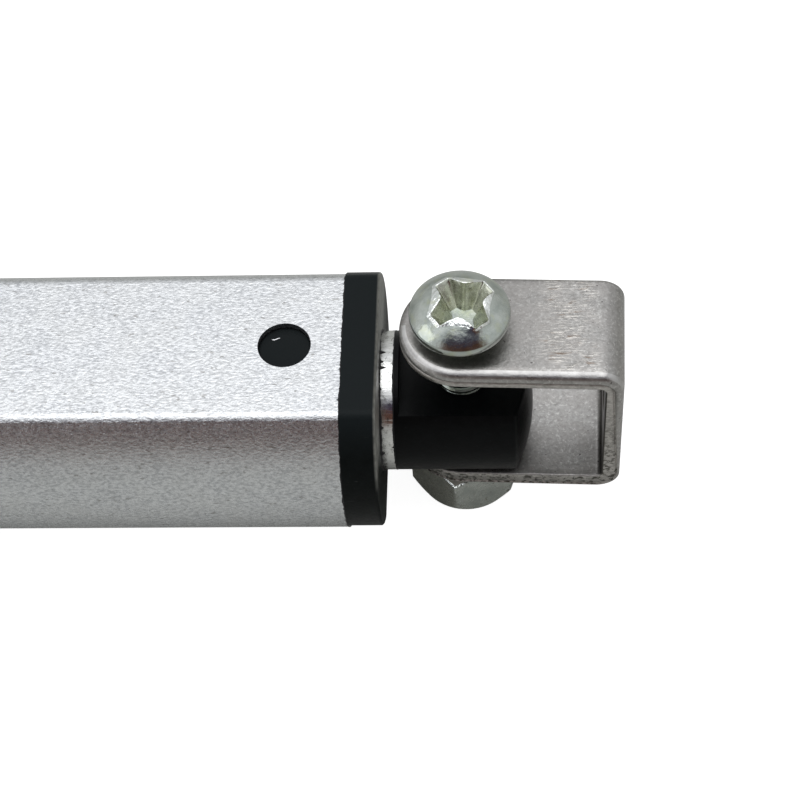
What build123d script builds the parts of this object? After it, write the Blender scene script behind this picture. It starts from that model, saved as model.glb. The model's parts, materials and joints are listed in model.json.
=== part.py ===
from build123d import *
from math import acos, cos, pi, radians, sin, sqrt, tan
import os

# Micro linear actuator, rod retracted, in millimetres.
# Origin: centre of the rear mounting eye. +X: the way the rod travels. +Z: along the pivot screw.

# Overall
stroke = 50.0
dead_length = 105.0            # rear eye to front pivot when retracted, less the stroke
closed_length = stroke + dead_length
eye_to_tube = 9.0              # rear eye to the rear end of the tube
tube_to_pivot = 9.05           # front end of the tube to the front pivot

# Housing tube, a round extrusion with a flat above and below
body_width = 20.0
body_height = 15.3
body_corner = 1.0              # where a flat meets the round
tube_wall = 1.2
lock_hole_diameter = 4.1
lock_hole_inset = 4.45         # end of the tube to the hole that locks a cap in place

# End caps
cap_flange = 2.7
cap_rise = 0.2                 # the front cap sits this much high on the tube
cap_edge = 0.2
plug_clearance = 0.08          # cap plugs, bearing block and guide inside the tube
front_plug_length = 10.0
rear_bulkhead = 3.0
skirt_side_wall = 1.52
skirt_flat_wall = 0.87
eye_diameter = 4.2
eye_width = 9.0
eye_thickness = 7.5
eye_root_fillet = 0.8
cable_hole_diameter = 3.0
cable_hole_offset = 7.0
cable_diameter = 2.2
cable_run_in = 5.0             # groove for the cable's wires inside the rear cap's skirt
grommet_stand = 0.6            # grommet seen outside the rear cap

# Rod and what guides it
rod_room = 0.95                # flat inside of the tube to the rod
rod_switch_room = 0.3          # rod to the limit switch beside it
rod_wall = 1.5
rod_show = 1.05                # rod seen between the cap and the rod end
rod_clearance = 0.05           # running fit in the bush and the seal
cap_bore_clearance = 0.15
bush_wall = 0.4
bush_length = 7.0
seal_width = 1.6

# Rod end, flattened like the tube
rod_end_thickness = 7.5
rod_end_collar = 0.4
rod_end_reach = 5.45           # pivot to the crown of the rod end
rod_end_crown_radius = 12.0
rod_end_edge = 0.35
spigot_length = 6.0
spigot_clearance = 0.02

# Pivot screw, nut and bracket
screw_diameter = 4.0
pivot_clearance = 0.08         # running fit of the screw in the rod end
bracket_sheet = 1.4
bracket_height = 14.9
bracket_width = 9.3
bracket_reach = 12.25          # pivot to the outside of the web
bracket_bend = 1.9             # outside of the bends
bracket_inner_bend = 0.5
bracket_seat_gap = 0.03        # rod end to the lower arm
arm_hole_diameter = 4.3
web_hole_diameter = 4.2
screw_length = 19.7            # under the head
head_lift = 1.21               # the screw stands this far out of the upper arm
head_diameter = 7.6
head_height = 2.56
head_rim_foot = 0.35
head_rim_height = 0.86
head_foot_inset = 0.35
screw_tip_chamfer = 0.5
nut_across_flats = 8.0
nut_height = 4.6
nut_face_diameter = 7.5
nut_turn = 22.0                # degrees, a corner faces the front
nut_chamfer = radians(32)
nut_clearance = 0.02
fine_gap = 0.01                # how near an edge lies to the plane it is chosen by

# Nut carriage on the lead screw
carriage_length = 10.0
nut_barrel_clearance = 0.02
nut_flange_length = 2.0
nut_in_rod = 6.0
nut_wall = 1.0                 # lead screw to the rod's bore
screw_nut_clearance = 0.05
screw_past_nut = 1.0
screw_neck_length = 0.6
screw_thread_depth = 0.5

# Room at the ends of the travel
end_room = 5.0                 # carriage to front plug, and carriage to bearing block

# Bearing and its block
bearing_shoulder = 1.0         # step from the lead screw down to its journal
bearing_width = 4.0
ball_diameter = 1.5
ball_count = 7
race_clearance = 0.05
race_wall = 0.75
race_spacing = 1.0             # between the lands of the two races
cage_offset = 0.85
cage_thickness = 0.5
cage_width = 0.5
journal_clearance = 0.02
block_web = 1.2
block_web_clearance = 0.5      # inner race to the hole in the web behind it
clip_width = 1.0
clip_thickness = 0.6
coupling_room = 7.0
coupling_cavity_diameter = 9.0

# Coupling between the lead screw and the gearbox
coupling_diameter = 7.0
coupling_length = 6.0
coupling_gap = 0.5             # block web to coupling
cross_pin_diameter = 1.0
cross_pin_inset = 1.5
cross_pin_clearance = 0.02

# Gearbox: four equal stages folded back and forth between two lines
gear_module = 0.25
pinion_teeth = 10
wheel_teeth = 24
tooth_shift = 0.35             # pinions grow and wheels shrink by this share of the module
tooth_thinning = 0.035         # taken off each tooth for backlash
pressure_angle = radians(20)
face_width = 1.3
stage_gap = 0.4
stage_count = 4
plate_thickness = 1.0
arbor_diameter = 1.0
arbor_clearance = 0.05
output_shaft_diameter = 3.0
output_bush_diameter = 5.0
output_bush_flange_diameter = 6.0
output_bush_flange = 0.4
pillar_diameter = 1.8
small_screw_diameter = 1.0
small_head_diameter = 2.0
small_head_height = 0.8
small_screw_grip = 3.0
head_pocket_clearance = 0.3
mount_screw_diameter = 1.6
mount_head_diameter = 2.6
mount_screw_clearance = 0.05
mount_screw_y = -4.6
mount_screw_edge = 2.3         # in from the flats of the gearbox plate
pillar_edge = 1.1
side_pillar_edge = 1.55

# Motor, a flat can
motor_side_room = 1.05         # round inside of the tube to the can, with room for the leads
motor_flat_room = 0.45
motor_length = 20.0
can_wall = 0.7
motor_boss_room = 0.4          # boss to the heads of the motor's screws
motor_boss_height = 0.9
motor_shaft_diameter = 1.2
motor_bush_diameter = 3.0
motor_bush_length = 1.6
motor_screw_edge = 1.6         # in from the flats of the can
magnet_gap = 0.3
magnet_height = 7.0
magnet_thickness = 2.1
armature_room = 0.7            # flats inside the can to the armature
armature_length = 9.0
armature_hub_diameter = 3.0
pole_arm_width = 1.4
pole_shoe_thickness = 0.8
pole_slot_width = 1.0
pole_slot_depth = 2.0
pole_count = 3
coil_width = 2.8
coil_overhang = 0.7
coil_clearance = 0.05
first_pole = 180.0             # degrees round the shaft
commutator_gap = 0.5           # end bell to the commutator
commutator_diameter = 3.2
commutator_length = 2.6
commutator_slot = 0.25
end_bell_thickness = 1.6
end_bell_clearance = 0.03
brush_thickness = 0.2
brush_width = 2.0
terminal_thickness = 0.4
terminal_width = 1.6
terminal_length = 3.0
terminal_offset = 4.5

# Limit switches
board_edge_room = 0.6          # back of the board to the round inside of the tube
board_thickness = 0.8
board_height = 6.0
board_slot_depth = 2.0         # held in the bearing block and in the front plug
board_clearance = 0.1
carriage_board_clearance = 0.2
switch_length = 3.6
switch_depth = 1.6
switch_height = 3.6
switch_drop = 1.0              # switch centre below the board's centre line
plunger_depth = 0.8
plunger_height = 1.2
plunger_stroke = 0.4
plunger_sunk = 1.2             # plunger length inside the switch
plunger_clearance = 0.06
trip_gap = 0.1                 # plunger to carriage at the end of travel
diode_length = 2.6
diode_depth = 1.0
diode_height = 1.6
diode_rise = 2.0

# Leads from the board to the motor
lead_diameter = 0.8
lead_wall_room = 0.5           # leads' centre to the round inside of the tube
lead_spacing = 0.55
lead_bend = 1.8
lead_turn = 5.0                # leads turn this far behind the motor
lead_notch_height = 2.6

# Places along the axis
tube_rear = eye_to_tube
pivot_x = closed_length
tube_front = pivot_x - tube_to_pivot
tube_length = tube_front - tube_rear
front_plug_end = tube_front - front_plug_length
carriage_front = front_plug_end - end_room - stroke
carriage_rear = carriage_front - carriage_length
block_front = carriage_rear - end_room
block_length = bearing_width + block_web + coupling_room
block_rear = block_front - block_length
cell_length = stage_gap + stage_count * (face_width + stage_gap)
cell_front = block_rear - plate_thickness
cell_rear = cell_front - cell_length
motor_front = cell_rear - plate_thickness
motor_rear = motor_front - motor_length
rod_front = tube_front + cap_flange + rod_show
rod_end_tip = pivot_x + rod_end_reach

# Sections
inner_width = body_width - 2 * tube_wall
inner_height = body_height - 2 * tube_wall
plug_width = inner_width - 2 * plug_clearance
plug_height = inner_height - 2 * plug_clearance
skirt_width = plug_width - 2 * skirt_side_wall
skirt_height = plug_height - 2 * skirt_flat_wall
board_inner = inner_width / 2 - board_edge_room - board_thickness
lead_line = inner_width / 2 - lead_wall_room
rod_beside_switch = board_inner - switch_depth - rod_switch_room
rod_diameter = min(inner_height - 2 * rod_room, 2 * rod_beside_switch)
rod_bore = rod_diameter - 2 * rod_wall
bush_outer = rod_diameter + 2 * (rod_clearance + bush_wall)
nut_flange_diameter = rod_diameter
lead_screw_diameter = rod_bore - 2 * nut_wall
screw_neck_diameter = lead_screw_diameter - 2 * screw_thread_depth
bearing_bore = lead_screw_diameter - 2 * bearing_shoulder
inner_race_land = bearing_bore + 2 * race_wall
outer_race_land = inner_race_land + 2 * race_spacing
bearing_diameter = outer_race_land + 2 * race_wall
block_web_hole = inner_race_land + 2 * block_web_clearance
clip_diameter = bearing_bore + 2 * clip_width
motor_width = inner_width - 2 * motor_side_room
motor_height = inner_height - 2 * motor_flat_room
motor_screw_z = motor_height / 2 - motor_screw_edge
motor_boss_diameter = 2 * (motor_screw_z - small_head_diameter / 2 - motor_boss_room)
mount_screw_z = motor_height / 2 - mount_screw_edge
pillar_z = motor_height / 2 - pillar_edge
centre_distance = gear_module * (pinion_teeth + wheel_teeth) / 2
between_lines = centre_distance / 2
side_pillar_y = side_pillar_edge - motor_width / 2
pillar_spots = [(side_pillar_y, 0), (between_lines, pillar_z), (between_lines, -pillar_z)]
mount_screw_spots = [(mount_screw_y, mount_screw_z), (mount_screw_y, -mount_screw_z)]
motor_screw_spots = [(0, motor_screw_z), (0, -motor_screw_z)]
arbor_spot = [(centre_distance, 0)]
cable_spot = [(cable_hole_offset, 0)]
on_axis = [(0, 0)]
from_base = (Align.CENTER, Align.CENTER, Align.MIN)


def section(x):
    """The plane across the actuator at x, with Y to the right and Z up."""
    return Plane.YZ.offset(x)


def turned(x, diameter, length, spots=on_axis, mode=Mode.ADD):
    """Add or cut a round bar along X from x forwards, at each (y, z) spot."""
    with Locations(section(x)):
        with Locations(*spots):
            Cylinder(diameter / 2, length, align=from_base, mode=mode)


def flattened(x, width, height, length, rise=0, corner=0, mode=Mode.ADD):
    """Add or cut a round bar with a flat above and below, from x forwards."""
    with BuildSketch(section(x)) as outline:
        with Locations((0, rise)):
            Circle(width / 2)
            Rectangle(width, height, mode=Mode.INTERSECT)
        if corner:
            fillet(outline.vertices(), corner)
    extrude(outline.sketch, amount=length, mode=mode)


def block(x, y, z, size_x, size_y, size_z, mode=Mode.ADD):
    """Add or cut a box that starts at x and is centred on y and z."""
    with Locations((x, y, z)):
        Box(size_x, size_y, size_z, align=(Align.MIN, Align.CENTER, Align.CENTER), mode=mode)


def involute(angle):
    return tan(angle) - angle


def gear_outline(teeth, shift, first_tooth):
    """Draw a spur gear with involute flanks, one tooth centred at first_tooth degrees."""
    pitch_radius = gear_module * teeth / 2
    base_radius = pitch_radius * cos(pressure_angle)
    tip_radius = pitch_radius + gear_module * (1 + shift)
    root_radius = pitch_radius - gear_module * (1.25 - shift)
    thickness = gear_module * (pi / 2 + 2 * shift * tan(pressure_angle)) - tooth_thinning
    half_at_base = thickness / (2 * pitch_radius) + involute(pressure_angle)
    middle_radius = (base_radius + tip_radius) / 2

    def flank_point(radius, side, tooth_angle):
        rolled = acos(min(1, base_radius / radius))
        angle = tooth_angle + side * (half_at_base - involute(rolled))
        return radius * cos(angle), radius * sin(angle)

    def root_point(side, tooth_angle):
        angle = tooth_angle + side * half_at_base
        return root_radius * cos(angle), root_radius * sin(angle)

    with BuildSketch() as outline:
        with BuildLine():
            for tooth in range(teeth):
                here = radians(first_tooth) + 2 * pi * tooth / teeth
                following = here + 2 * pi / teeth
                rise = [flank_point(r, -1, here) for r in (base_radius, middle_radius, tip_radius)]
                fall = [flank_point(r, 1, here) for r in (tip_radius, middle_radius, base_radius)]
                Line(root_point(-1, here), rise[0])
                ThreePointArc(*rise)
                Line(rise[2], fall[0])
                ThreePointArc(*fall)
                Line(fall[2], root_point(1, here))
                Line(root_point(1, here), root_point(-1, following))
        make_face()
    return outline.sketch


def stage_x(stage):
    """Rear face of the gears of a stage, counted from the motor."""
    return cell_rear + stage_gap + stage * (face_width + stage_gap)


def toothed(x, y, outline, length):
    """Add a gear along X on the line at y."""
    extrude(section(x) * Pos(y, 0) * outline, amount=length)


# On one line the mating gear lies towards +Y, on the other towards -Y.
pinion_on_axis = gear_outline(pinion_teeth, tooth_shift, 0)
pinion_on_arbor = gear_outline(pinion_teeth, tooth_shift, 180)
wheel_on_axis = gear_outline(wheel_teeth, -tooth_shift, 180 / wheel_teeth)
wheel_on_arbor = gear_outline(wheel_teeth, -tooth_shift, 180 + 180 / wheel_teeth)


# Housing
with BuildPart() as housing_tube:
    flattened(tube_rear, body_width, body_height, tube_length, corner=body_corner)
    flattened(tube_rear, inner_width, inner_height, tube_length, mode=Mode.SUBTRACT)
    lock_holes = [(tube_front - lock_hole_inset, 0), (tube_rear + lock_hole_inset, 0)]
    with Locations(Plane.XY.offset(body_height / 2)):
        with Locations(*lock_holes):
            Hole(lock_hole_diameter / 2, depth=2 * tube_wall)

with BuildPart() as front_cap:
    flattened(tube_front, body_width, body_height, cap_flange, rise=cap_rise, corner=body_corner)
    fillet(front_cap.faces().sort_by(Axis.X)[-1].edges(), cap_edge)
    flattened(front_plug_end, plug_width, plug_height, front_plug_length)
    turned(
        front_plug_end,
        rod_diameter + 2 * cap_bore_clearance,
        front_plug_length + cap_flange,
        mode=Mode.SUBTRACT,
    )
    turned(front_plug_end, bush_outer, bush_length + seal_width, mode=Mode.SUBTRACT)
    block(
        front_plug_end,
        -(board_inner + board_thickness / 2),
        0,
        board_slot_depth,
        board_thickness + 2 * board_clearance,
        board_height + 2 * board_clearance,
        mode=Mode.SUBTRACT,
    )

with BuildPart() as rod_guide_bush:
    turned(front_plug_end, bush_outer, bush_length)
    turned(front_plug_end, rod_diameter + 2 * rod_clearance, bush_length, mode=Mode.SUBTRACT)

with BuildPart() as rod_seal:
    turned(front_plug_end + bush_length, bush_outer, seal_width)
    turned(
        front_plug_end + bush_length,
        rod_diameter + 2 * rod_clearance,
        seal_width,
        mode=Mode.SUBTRACT,
    )

with BuildPart() as rear_cap:
    flattened(tube_rear - cap_flange, body_width, body_height, cap_flange, corner=body_corner)
    fillet(rear_cap.faces().sort_by(Axis.X)[0].edges(), cap_edge)
    with BuildSketch(Plane.XY) as eye:
        Circle(eye_width / 2)
        Rectangle(tube_rear - cap_flange, eye_width, align=(Align.MIN, Align.CENTER))
    extrude(amount=eye_thickness / 2, both=True)
    flange_back = tube_rear - cap_flange
    root_edges = (
        rear_cap.edges()
        .filter_by_position(Axis.X, flange_back - fine_gap, flange_back + fine_gap)
        .filter_by(GeomType.LINE)
        .filter_by(lambda edge: edge.length < eye_width + fine_gap)
    )
    fillet(root_edges, eye_root_fillet)
    flattened(tube_rear, plug_width, plug_height, motor_rear - tube_rear)
    flattened(
        tube_rear + rear_bulkhead,
        skirt_width,
        skirt_height,
        motor_rear - tube_rear - rear_bulkhead,
        mode=Mode.SUBTRACT,
    )
    notch_rear = motor_rear - lead_turn - 2 * lead_bend - lead_diameter
    block(
        notch_rear,
        -(plug_width + skirt_width) / 4,
        0,
        motor_rear - notch_rear,
        plug_width / 2,
        lead_notch_height,
        mode=Mode.SUBTRACT,
    )
    with Locations((0, 0, eye_thickness / 2)):
        Hole(eye_diameter / 2, depth=eye_thickness)
    turned(
        tube_rear - cap_flange,
        cable_hole_diameter,
        cap_flange + rear_bulkhead + cable_run_in,
        cable_spot,
        mode=Mode.SUBTRACT,
    )

with BuildPart() as cable_grommet:
    grommet_x = tube_rear - cap_flange - grommet_stand
    grommet_length = grommet_stand + cap_flange + rear_bulkhead
    turned(grommet_x, cable_hole_diameter, grommet_length, cable_spot)
    turned(grommet_x, cable_diameter, grommet_length, cable_spot, mode=Mode.SUBTRACT)


# Bearing block and bearing
bearing_x = block_front - bearing_width
bearing_middle = bearing_x + bearing_width / 2
ball_circle = (outer_race_land + inner_race_land) / 4

with BuildPart() as bearing_block:
    flattened(block_rear, plug_width, plug_height, block_length)
    turned(bearing_x, bearing_diameter, bearing_width, mode=Mode.SUBTRACT)
    turned(block_rear, block_web_hole, block_length, mode=Mode.SUBTRACT)
    turned(block_rear, coupling_cavity_diameter, coupling_room, mode=Mode.SUBTRACT)
    turned(
        block_rear,
        small_head_diameter + 2 * head_pocket_clearance,
        small_head_height + head_pocket_clearance,
        pillar_spots,
        mode=Mode.SUBTRACT,
    )
    turned(
        block_rear,
        mount_screw_diameter + 2 * mount_screw_clearance,
        block_length,
        mount_screw_spots,
        mode=Mode.SUBTRACT,
    )
    block(
        block_rear,
        -board_inner - board_thickness,
        0,
        block_length,
        2 * (board_thickness + board_clearance),
        board_height + 2 * board_clearance,
        mode=Mode.SUBTRACT,
    )

with BuildPart() as block_screws:
    turned(cell_front, mount_screw_diameter, block_length + plate_thickness, mount_screw_spots)
    turned(block_front, mount_head_diameter, small_head_height, mount_screw_spots)

with BuildPart() as bearing_outer_race:
    turned(bearing_x, bearing_diameter, bearing_width)
    turned(bearing_x, outer_race_land, bearing_width, mode=Mode.SUBTRACT)
    with Locations(section(bearing_middle)):
        Torus(ball_circle, ball_diameter / 2 + race_clearance, mode=Mode.SUBTRACT)

with BuildPart() as bearing_inner_race:
    turned(bearing_x, inner_race_land, bearing_width)
    turned(bearing_x, bearing_bore, bearing_width, mode=Mode.SUBTRACT)
    with Locations(section(bearing_middle)):
        Torus(ball_circle, ball_diameter / 2 + race_clearance, mode=Mode.SUBTRACT)

with BuildPart() as bearing_balls:
    with Locations(section(bearing_middle)):
        with PolarLocations(ball_circle, ball_count):
            Sphere(ball_diameter / 2)

with BuildPart() as bearing_cage:
    cage_outer = 2 * ball_circle + cage_width
    turned(bearing_middle + cage_offset, cage_outer, cage_thickness)
    turned(
        bearing_middle + cage_offset,
        cage_outer - 2 * cage_width,
        cage_thickness,
        mode=Mode.SUBTRACT,
    )


# Lead screw and coupling
journal_diameter = bearing_bore - 2 * journal_clearance
coupling_front = bearing_x - block_web - coupling_gap
coupling_middle = coupling_front - coupling_length / 2
coupling_rear = coupling_front - coupling_length
screw_tip = carriage_rear + stroke + nut_flange_length + carriage_length + screw_past_nut
clip_x = bearing_x - journal_clearance - clip_thickness
cross_pin_x = [coupling_middle + cross_pin_inset, coupling_middle - cross_pin_inset]


def cross_pin_holes(clearance, mode):
    """Add or cut the two cross pins of the coupling, which run along Z."""
    with Locations(*[(x, 0, 0) for x in cross_pin_x]):
        Cylinder(cross_pin_diameter / 2 + clearance, coupling_diameter, mode=mode)


with BuildPart() as lead_screw:
    turned(coupling_middle, journal_diameter, block_front - coupling_middle)
    turned(block_front, screw_neck_diameter, screw_neck_length)
    turned(
        block_front + screw_neck_length,
        lead_screw_diameter,
        screw_tip - block_front - screw_neck_length,
    )
    chamfer(lead_screw.faces().sort_by(Axis.X)[-1].edges(), screw_tip_chamfer)
    cross_pin_holes(cross_pin_clearance, Mode.SUBTRACT)

with BuildPart() as retaining_clip:
    turned(clip_x, clip_diameter, clip_thickness)
    turned(clip_x, bearing_bore, clip_thickness, mode=Mode.SUBTRACT)
    block(clip_x, 0, -clip_diameter / 2, clip_thickness, bearing_bore / 2, clip_diameter, Mode.SUBTRACT)

with BuildPart() as coupling_sleeve:
    turned(coupling_rear, coupling_diameter, coupling_length)
    turned(coupling_middle, bearing_bore, coupling_length / 2, mode=Mode.SUBTRACT)
    turned(
        coupling_rear,
        output_shaft_diameter + 2 * journal_clearance,
        coupling_length / 2,
        mode=Mode.SUBTRACT,
    )
    cross_pin_holes(cross_pin_clearance, Mode.SUBTRACT)

with BuildPart() as coupling_pins:
    cross_pin_holes(0, Mode.ADD)


# Gearbox
with BuildPart() as gearbox_front_plate:
    flattened(cell_front, motor_width, motor_height, plate_thickness)
    turned(cell_front, output_bush_diameter, plate_thickness, mode=Mode.SUBTRACT)
    turned(
        cell_front,
        arbor_diameter + 2 * cross_pin_clearance,
        plate_thickness,
        arbor_spot,
        mode=Mode.SUBTRACT,
    )
    turned(
        cell_front,
        small_screw_diameter + 2 * cross_pin_clearance,
        plate_thickness,
        pillar_spots,
        mode=Mode.SUBTRACT,
    )
    turned(
        cell_front,
        mount_screw_diameter + 2 * cross_pin_clearance,
        plate_thickness,
        mount_screw_spots,
        mode=Mode.SUBTRACT,
    )

with BuildPart() as gearbox_rear_plate:
    flattened(motor_front, motor_width, motor_height, plate_thickness)
    turned(
        motor_front,
        motor_boss_diameter + 2 * plug_clearance,
        plate_thickness,
        mode=Mode.SUBTRACT,
    )
    turned(
        motor_front,
        arbor_diameter + 2 * cross_pin_clearance,
        plate_thickness,
        arbor_spot,
        mode=Mode.SUBTRACT,
    )
    turned(
        motor_front,
        small_screw_diameter + 2 * cross_pin_clearance,
        plate_thickness,
        motor_screw_spots,
        mode=Mode.SUBTRACT,
    )

with BuildPart() as gearbox_pillars:
    turned(cell_rear, pillar_diameter, cell_length, pillar_spots)
    turned(
        cell_front - small_screw_grip,
        small_screw_diameter + 2 * cross_pin_clearance,
        small_screw_grip,
        pillar_spots,
        mode=Mode.SUBTRACT,
    )

with BuildPart() as gearbox_screws:
    turned(
        cell_front - small_screw_grip,
        small_screw_diameter,
        small_screw_grip + plate_thickness,
        pillar_spots,
    )
    turned(block_rear, small_head_diameter, small_head_height, pillar_spots)

with BuildPart() as gear_arbor:
    turned(
        motor_front,
        arbor_diameter,
        block_rear - motor_front,
        arbor_spot,
    )

with BuildPart() as output_bush:
    turned(cell_front, output_bush_diameter, plate_thickness)
    turned(block_rear, output_bush_flange_diameter, output_bush_flange)
    turned(
        cell_front,
        output_shaft_diameter + 2 * arbor_clearance,
        plate_thickness + output_bush_flange,
        mode=Mode.SUBTRACT,
    )

with BuildPart() as output_shaft:
    turned(stage_x(1) - stage_gap / 2, motor_shaft_diameter, stage_x(3) - stage_x(1) + stage_gap / 2)
    turned(stage_x(3), output_shaft_diameter, coupling_middle - stage_x(3))
    cross_pin_holes(cross_pin_clearance, Mode.SUBTRACT)

with BuildPart() as output_gear:
    toothed(stage_x(3), 0, wheel_on_axis, face_width)
    turned(
        stage_x(3),
        output_shaft_diameter + 2 * journal_clearance,
        face_width,
        mode=Mode.SUBTRACT,
    )


def cut_arbor_bore(stage, y, shaft_diameter):
    """Bore a compound gear for the arbor or shaft that it turns on."""
    turned(
        stage_x(stage),
        shaft_diameter + 2 * arbor_clearance,
        2 * face_width + stage_gap,
        [(y, 0)],
        mode=Mode.SUBTRACT,
    )


with BuildPart() as first_compound_gear:
    toothed(stage_x(0), centre_distance, wheel_on_arbor, face_width)
    toothed(stage_x(0) + face_width, centre_distance, pinion_on_arbor, stage_gap + face_width)
    cut_arbor_bore(0, centre_distance, arbor_diameter)

with BuildPart() as second_compound_gear:
    toothed(stage_x(1), 0, wheel_on_axis, face_width)
    toothed(stage_x(1) + face_width, 0, pinion_on_axis, stage_gap + face_width)
    cut_arbor_bore(1, 0, motor_shaft_diameter)

with BuildPart() as third_compound_gear:
    toothed(stage_x(2), centre_distance, wheel_on_arbor, face_width)
    toothed(stage_x(2) + face_width, centre_distance, pinion_on_arbor, stage_gap + face_width)
    cut_arbor_bore(2, centre_distance, arbor_diameter)

with BuildPart() as motor_pinion:
    toothed(stage_x(0), 0, pinion_on_axis, face_width)
    turned(
        stage_x(0),
        motor_shaft_diameter + 2 * journal_clearance,
        face_width,
        mode=Mode.SUBTRACT,
    )


# Motor
can_inner_width = motor_width - 2 * can_wall
can_inner_height = motor_height - 2 * can_wall
bell_x = motor_rear
bell_front = motor_rear + end_bell_thickness
commutator_x = bell_front + commutator_gap
armature_x = commutator_x + commutator_length + 2 * coil_overhang
armature_diameter = min(
    can_inner_height - 2 * armature_room,
    can_inner_width - 2 * (magnet_gap + magnet_thickness),
)
pole_inner = armature_diameter / 2 - pole_shoe_thickness
bush_bore = motor_shaft_diameter + 2 * arbor_clearance

with BuildPart() as motor_can:
    flattened(motor_rear, motor_width, motor_height, motor_length)
    flattened(
        motor_rear,
        can_inner_width,
        can_inner_height,
        motor_length - can_wall,
        mode=Mode.SUBTRACT,
    )
    turned(motor_front, motor_boss_diameter, motor_boss_height)
    turned(
        motor_front - can_wall,
        motor_bush_diameter,
        can_wall + motor_boss_height,
        mode=Mode.SUBTRACT,
    )
    turned(
        motor_front - can_wall,
        small_screw_diameter + 2 * cross_pin_clearance,
        can_wall,
        motor_screw_spots,
        mode=Mode.SUBTRACT,
    )

with BuildPart() as motor_front_bush:
    turned(motor_front - can_wall, motor_bush_diameter, motor_bush_length)
    turned(motor_front - can_wall, bush_bore, motor_bush_length, mode=Mode.SUBTRACT)

with BuildPart() as motor_screws:
    turned(
        motor_front - can_wall,
        small_screw_diameter,
        can_wall + plate_thickness,
        motor_screw_spots,
    )
    turned(cell_rear, small_head_diameter, small_head_height, motor_screw_spots)

with BuildPart() as motor_magnets:
    with BuildSketch(section(armature_x)):
        Circle(can_inner_width / 2)
        Circle(armature_diameter / 2 + magnet_gap, mode=Mode.SUBTRACT)
        Rectangle(can_inner_width, magnet_height, mode=Mode.INTERSECT)
    extrude(amount=armature_length)

with BuildPart() as armature_core:
    with BuildSketch(section(armature_x)):
        Circle(armature_diameter / 2)
        Circle(pole_inner, mode=Mode.SUBTRACT)
        with PolarLocations(pole_inner, pole_count):
            Rectangle(2 * pole_slot_depth, pole_slot_width, mode=Mode.SUBTRACT)
        with PolarLocations(0, pole_count, start_angle=first_pole):
            Rectangle(
                pole_inner + pole_shoe_thickness / 2,
                pole_arm_width,
                align=(Align.MIN, Align.CENTER),
            )
        Circle(armature_hub_diameter / 2)
    extrude(amount=armature_length)
    turned(
        armature_x,
        motor_shaft_diameter + 2 * journal_clearance,
        armature_length,
        mode=Mode.SUBTRACT,
    )

coil_inner = armature_hub_diameter / 2 + coil_clearance
coil_outer = sqrt((pole_inner - coil_clearance) ** 2 - (coil_width / 2) ** 2)

with BuildPart() as armature_windings:
    with Locations(section(armature_x - coil_overhang)):
        with PolarLocations(coil_inner, pole_count, start_angle=first_pole):
            Box(
                coil_outer - coil_inner,
                coil_width,
                armature_length + 2 * coil_overhang,
                align=(Align.MIN, Align.CENTER, Align.MIN),
            )
    with Locations(section(armature_x - coil_clearance)):
        with PolarLocations(0, pole_count, start_angle=first_pole):
            Box(
                pole_inner,
                pole_arm_width + 2 * coil_clearance,
                armature_length + 2 * coil_clearance,
                align=(Align.MIN, Align.CENTER, Align.MIN),
                mode=Mode.SUBTRACT,
            )

with BuildPart() as commutator:
    turned(commutator_x, commutator_diameter, commutator_length)
    turned(
        commutator_x,
        motor_shaft_diameter + 2 * journal_clearance,
        commutator_length,
        mode=Mode.SUBTRACT,
    )
    with Locations(section(commutator_x)):
        with PolarLocations(commutator_diameter / 2, pole_count, start_angle=first_pole):
            Box(
                2 * commutator_slot,
                commutator_slot,
                commutator_length,
                align=from_base,
                mode=Mode.SUBTRACT,
            )

with BuildPart() as motor_shaft:
    turned(bell_x, motor_shaft_diameter, stage_x(0) + face_width - bell_x)

with BuildPart() as motor_end_bell:
    flattened(
        bell_x,
        can_inner_width - 2 * end_bell_clearance,
        can_inner_height - 2 * end_bell_clearance,
        end_bell_thickness,
    )
    turned(bell_x, motor_bush_diameter, end_bell_thickness, mode=Mode.SUBTRACT)
    for side in (-1, 1):
        block(
            bell_x,
            side * terminal_offset,
            0,
            end_bell_thickness,
            terminal_thickness,
            terminal_width,
            mode=Mode.SUBTRACT,
        )

with BuildPart() as motor_rear_bush:
    turned(bell_x, motor_bush_diameter, end_bell_thickness)
    turned(bell_x, bush_bore, end_bell_thickness, mode=Mode.SUBTRACT)

brush_y = commutator_diameter / 2 + arbor_clearance + brush_thickness / 2

with BuildPart() as motor_brushes:
    for side in (-1, 1):
        block(
            bell_front,
            side * brush_y,
            0,
            commutator_x - bell_front + commutator_length,
            brush_thickness,
            brush_width,
        )

with BuildPart() as motor_terminals:
    for side in (-1, 1):
        block(
            bell_x - terminal_length,
            side * terminal_offset,
            0,
            terminal_length + end_bell_thickness,
            terminal_thickness,
            terminal_width,
        )


# Limit switches and leads
board_y = -(board_inner + board_thickness / 2)
board_rear = block_front - board_slot_depth
board_front = front_plug_end + board_slot_depth
switch_y = -(board_inner - switch_depth / 2)
plunger_reach = end_room - trip_gap - switch_length
front_switch_x = front_plug_end - switch_length
rear_switch_x = block_front
plunger_length = plunger_reach + plunger_sunk
front_plunger_x = front_switch_x - plunger_reach
rear_plunger_x = rear_switch_x + switch_length - plunger_sunk
pocket_length = plunger_sunk + plunger_stroke + plunger_clearance

with BuildPart() as switch_board:
    block(board_rear, board_y, 0, board_front - board_rear, board_thickness, board_height)

with BuildPart() as switch_diodes:
    for diode_x in (front_switch_x, rear_switch_x + switch_length - diode_length):
        block(
            diode_x,
            -(board_inner - diode_depth / 2),
            diode_rise,
            diode_length,
            diode_depth,
            diode_height,
        )


def plunger_pocket(x):
    """Cut the pocket that a plunger slides in."""
    block(
        x,
        switch_y,
        -switch_drop,
        pocket_length,
        plunger_depth + 2 * plunger_clearance,
        plunger_height + 2 * plunger_clearance,
        mode=Mode.SUBTRACT,
    )


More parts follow.
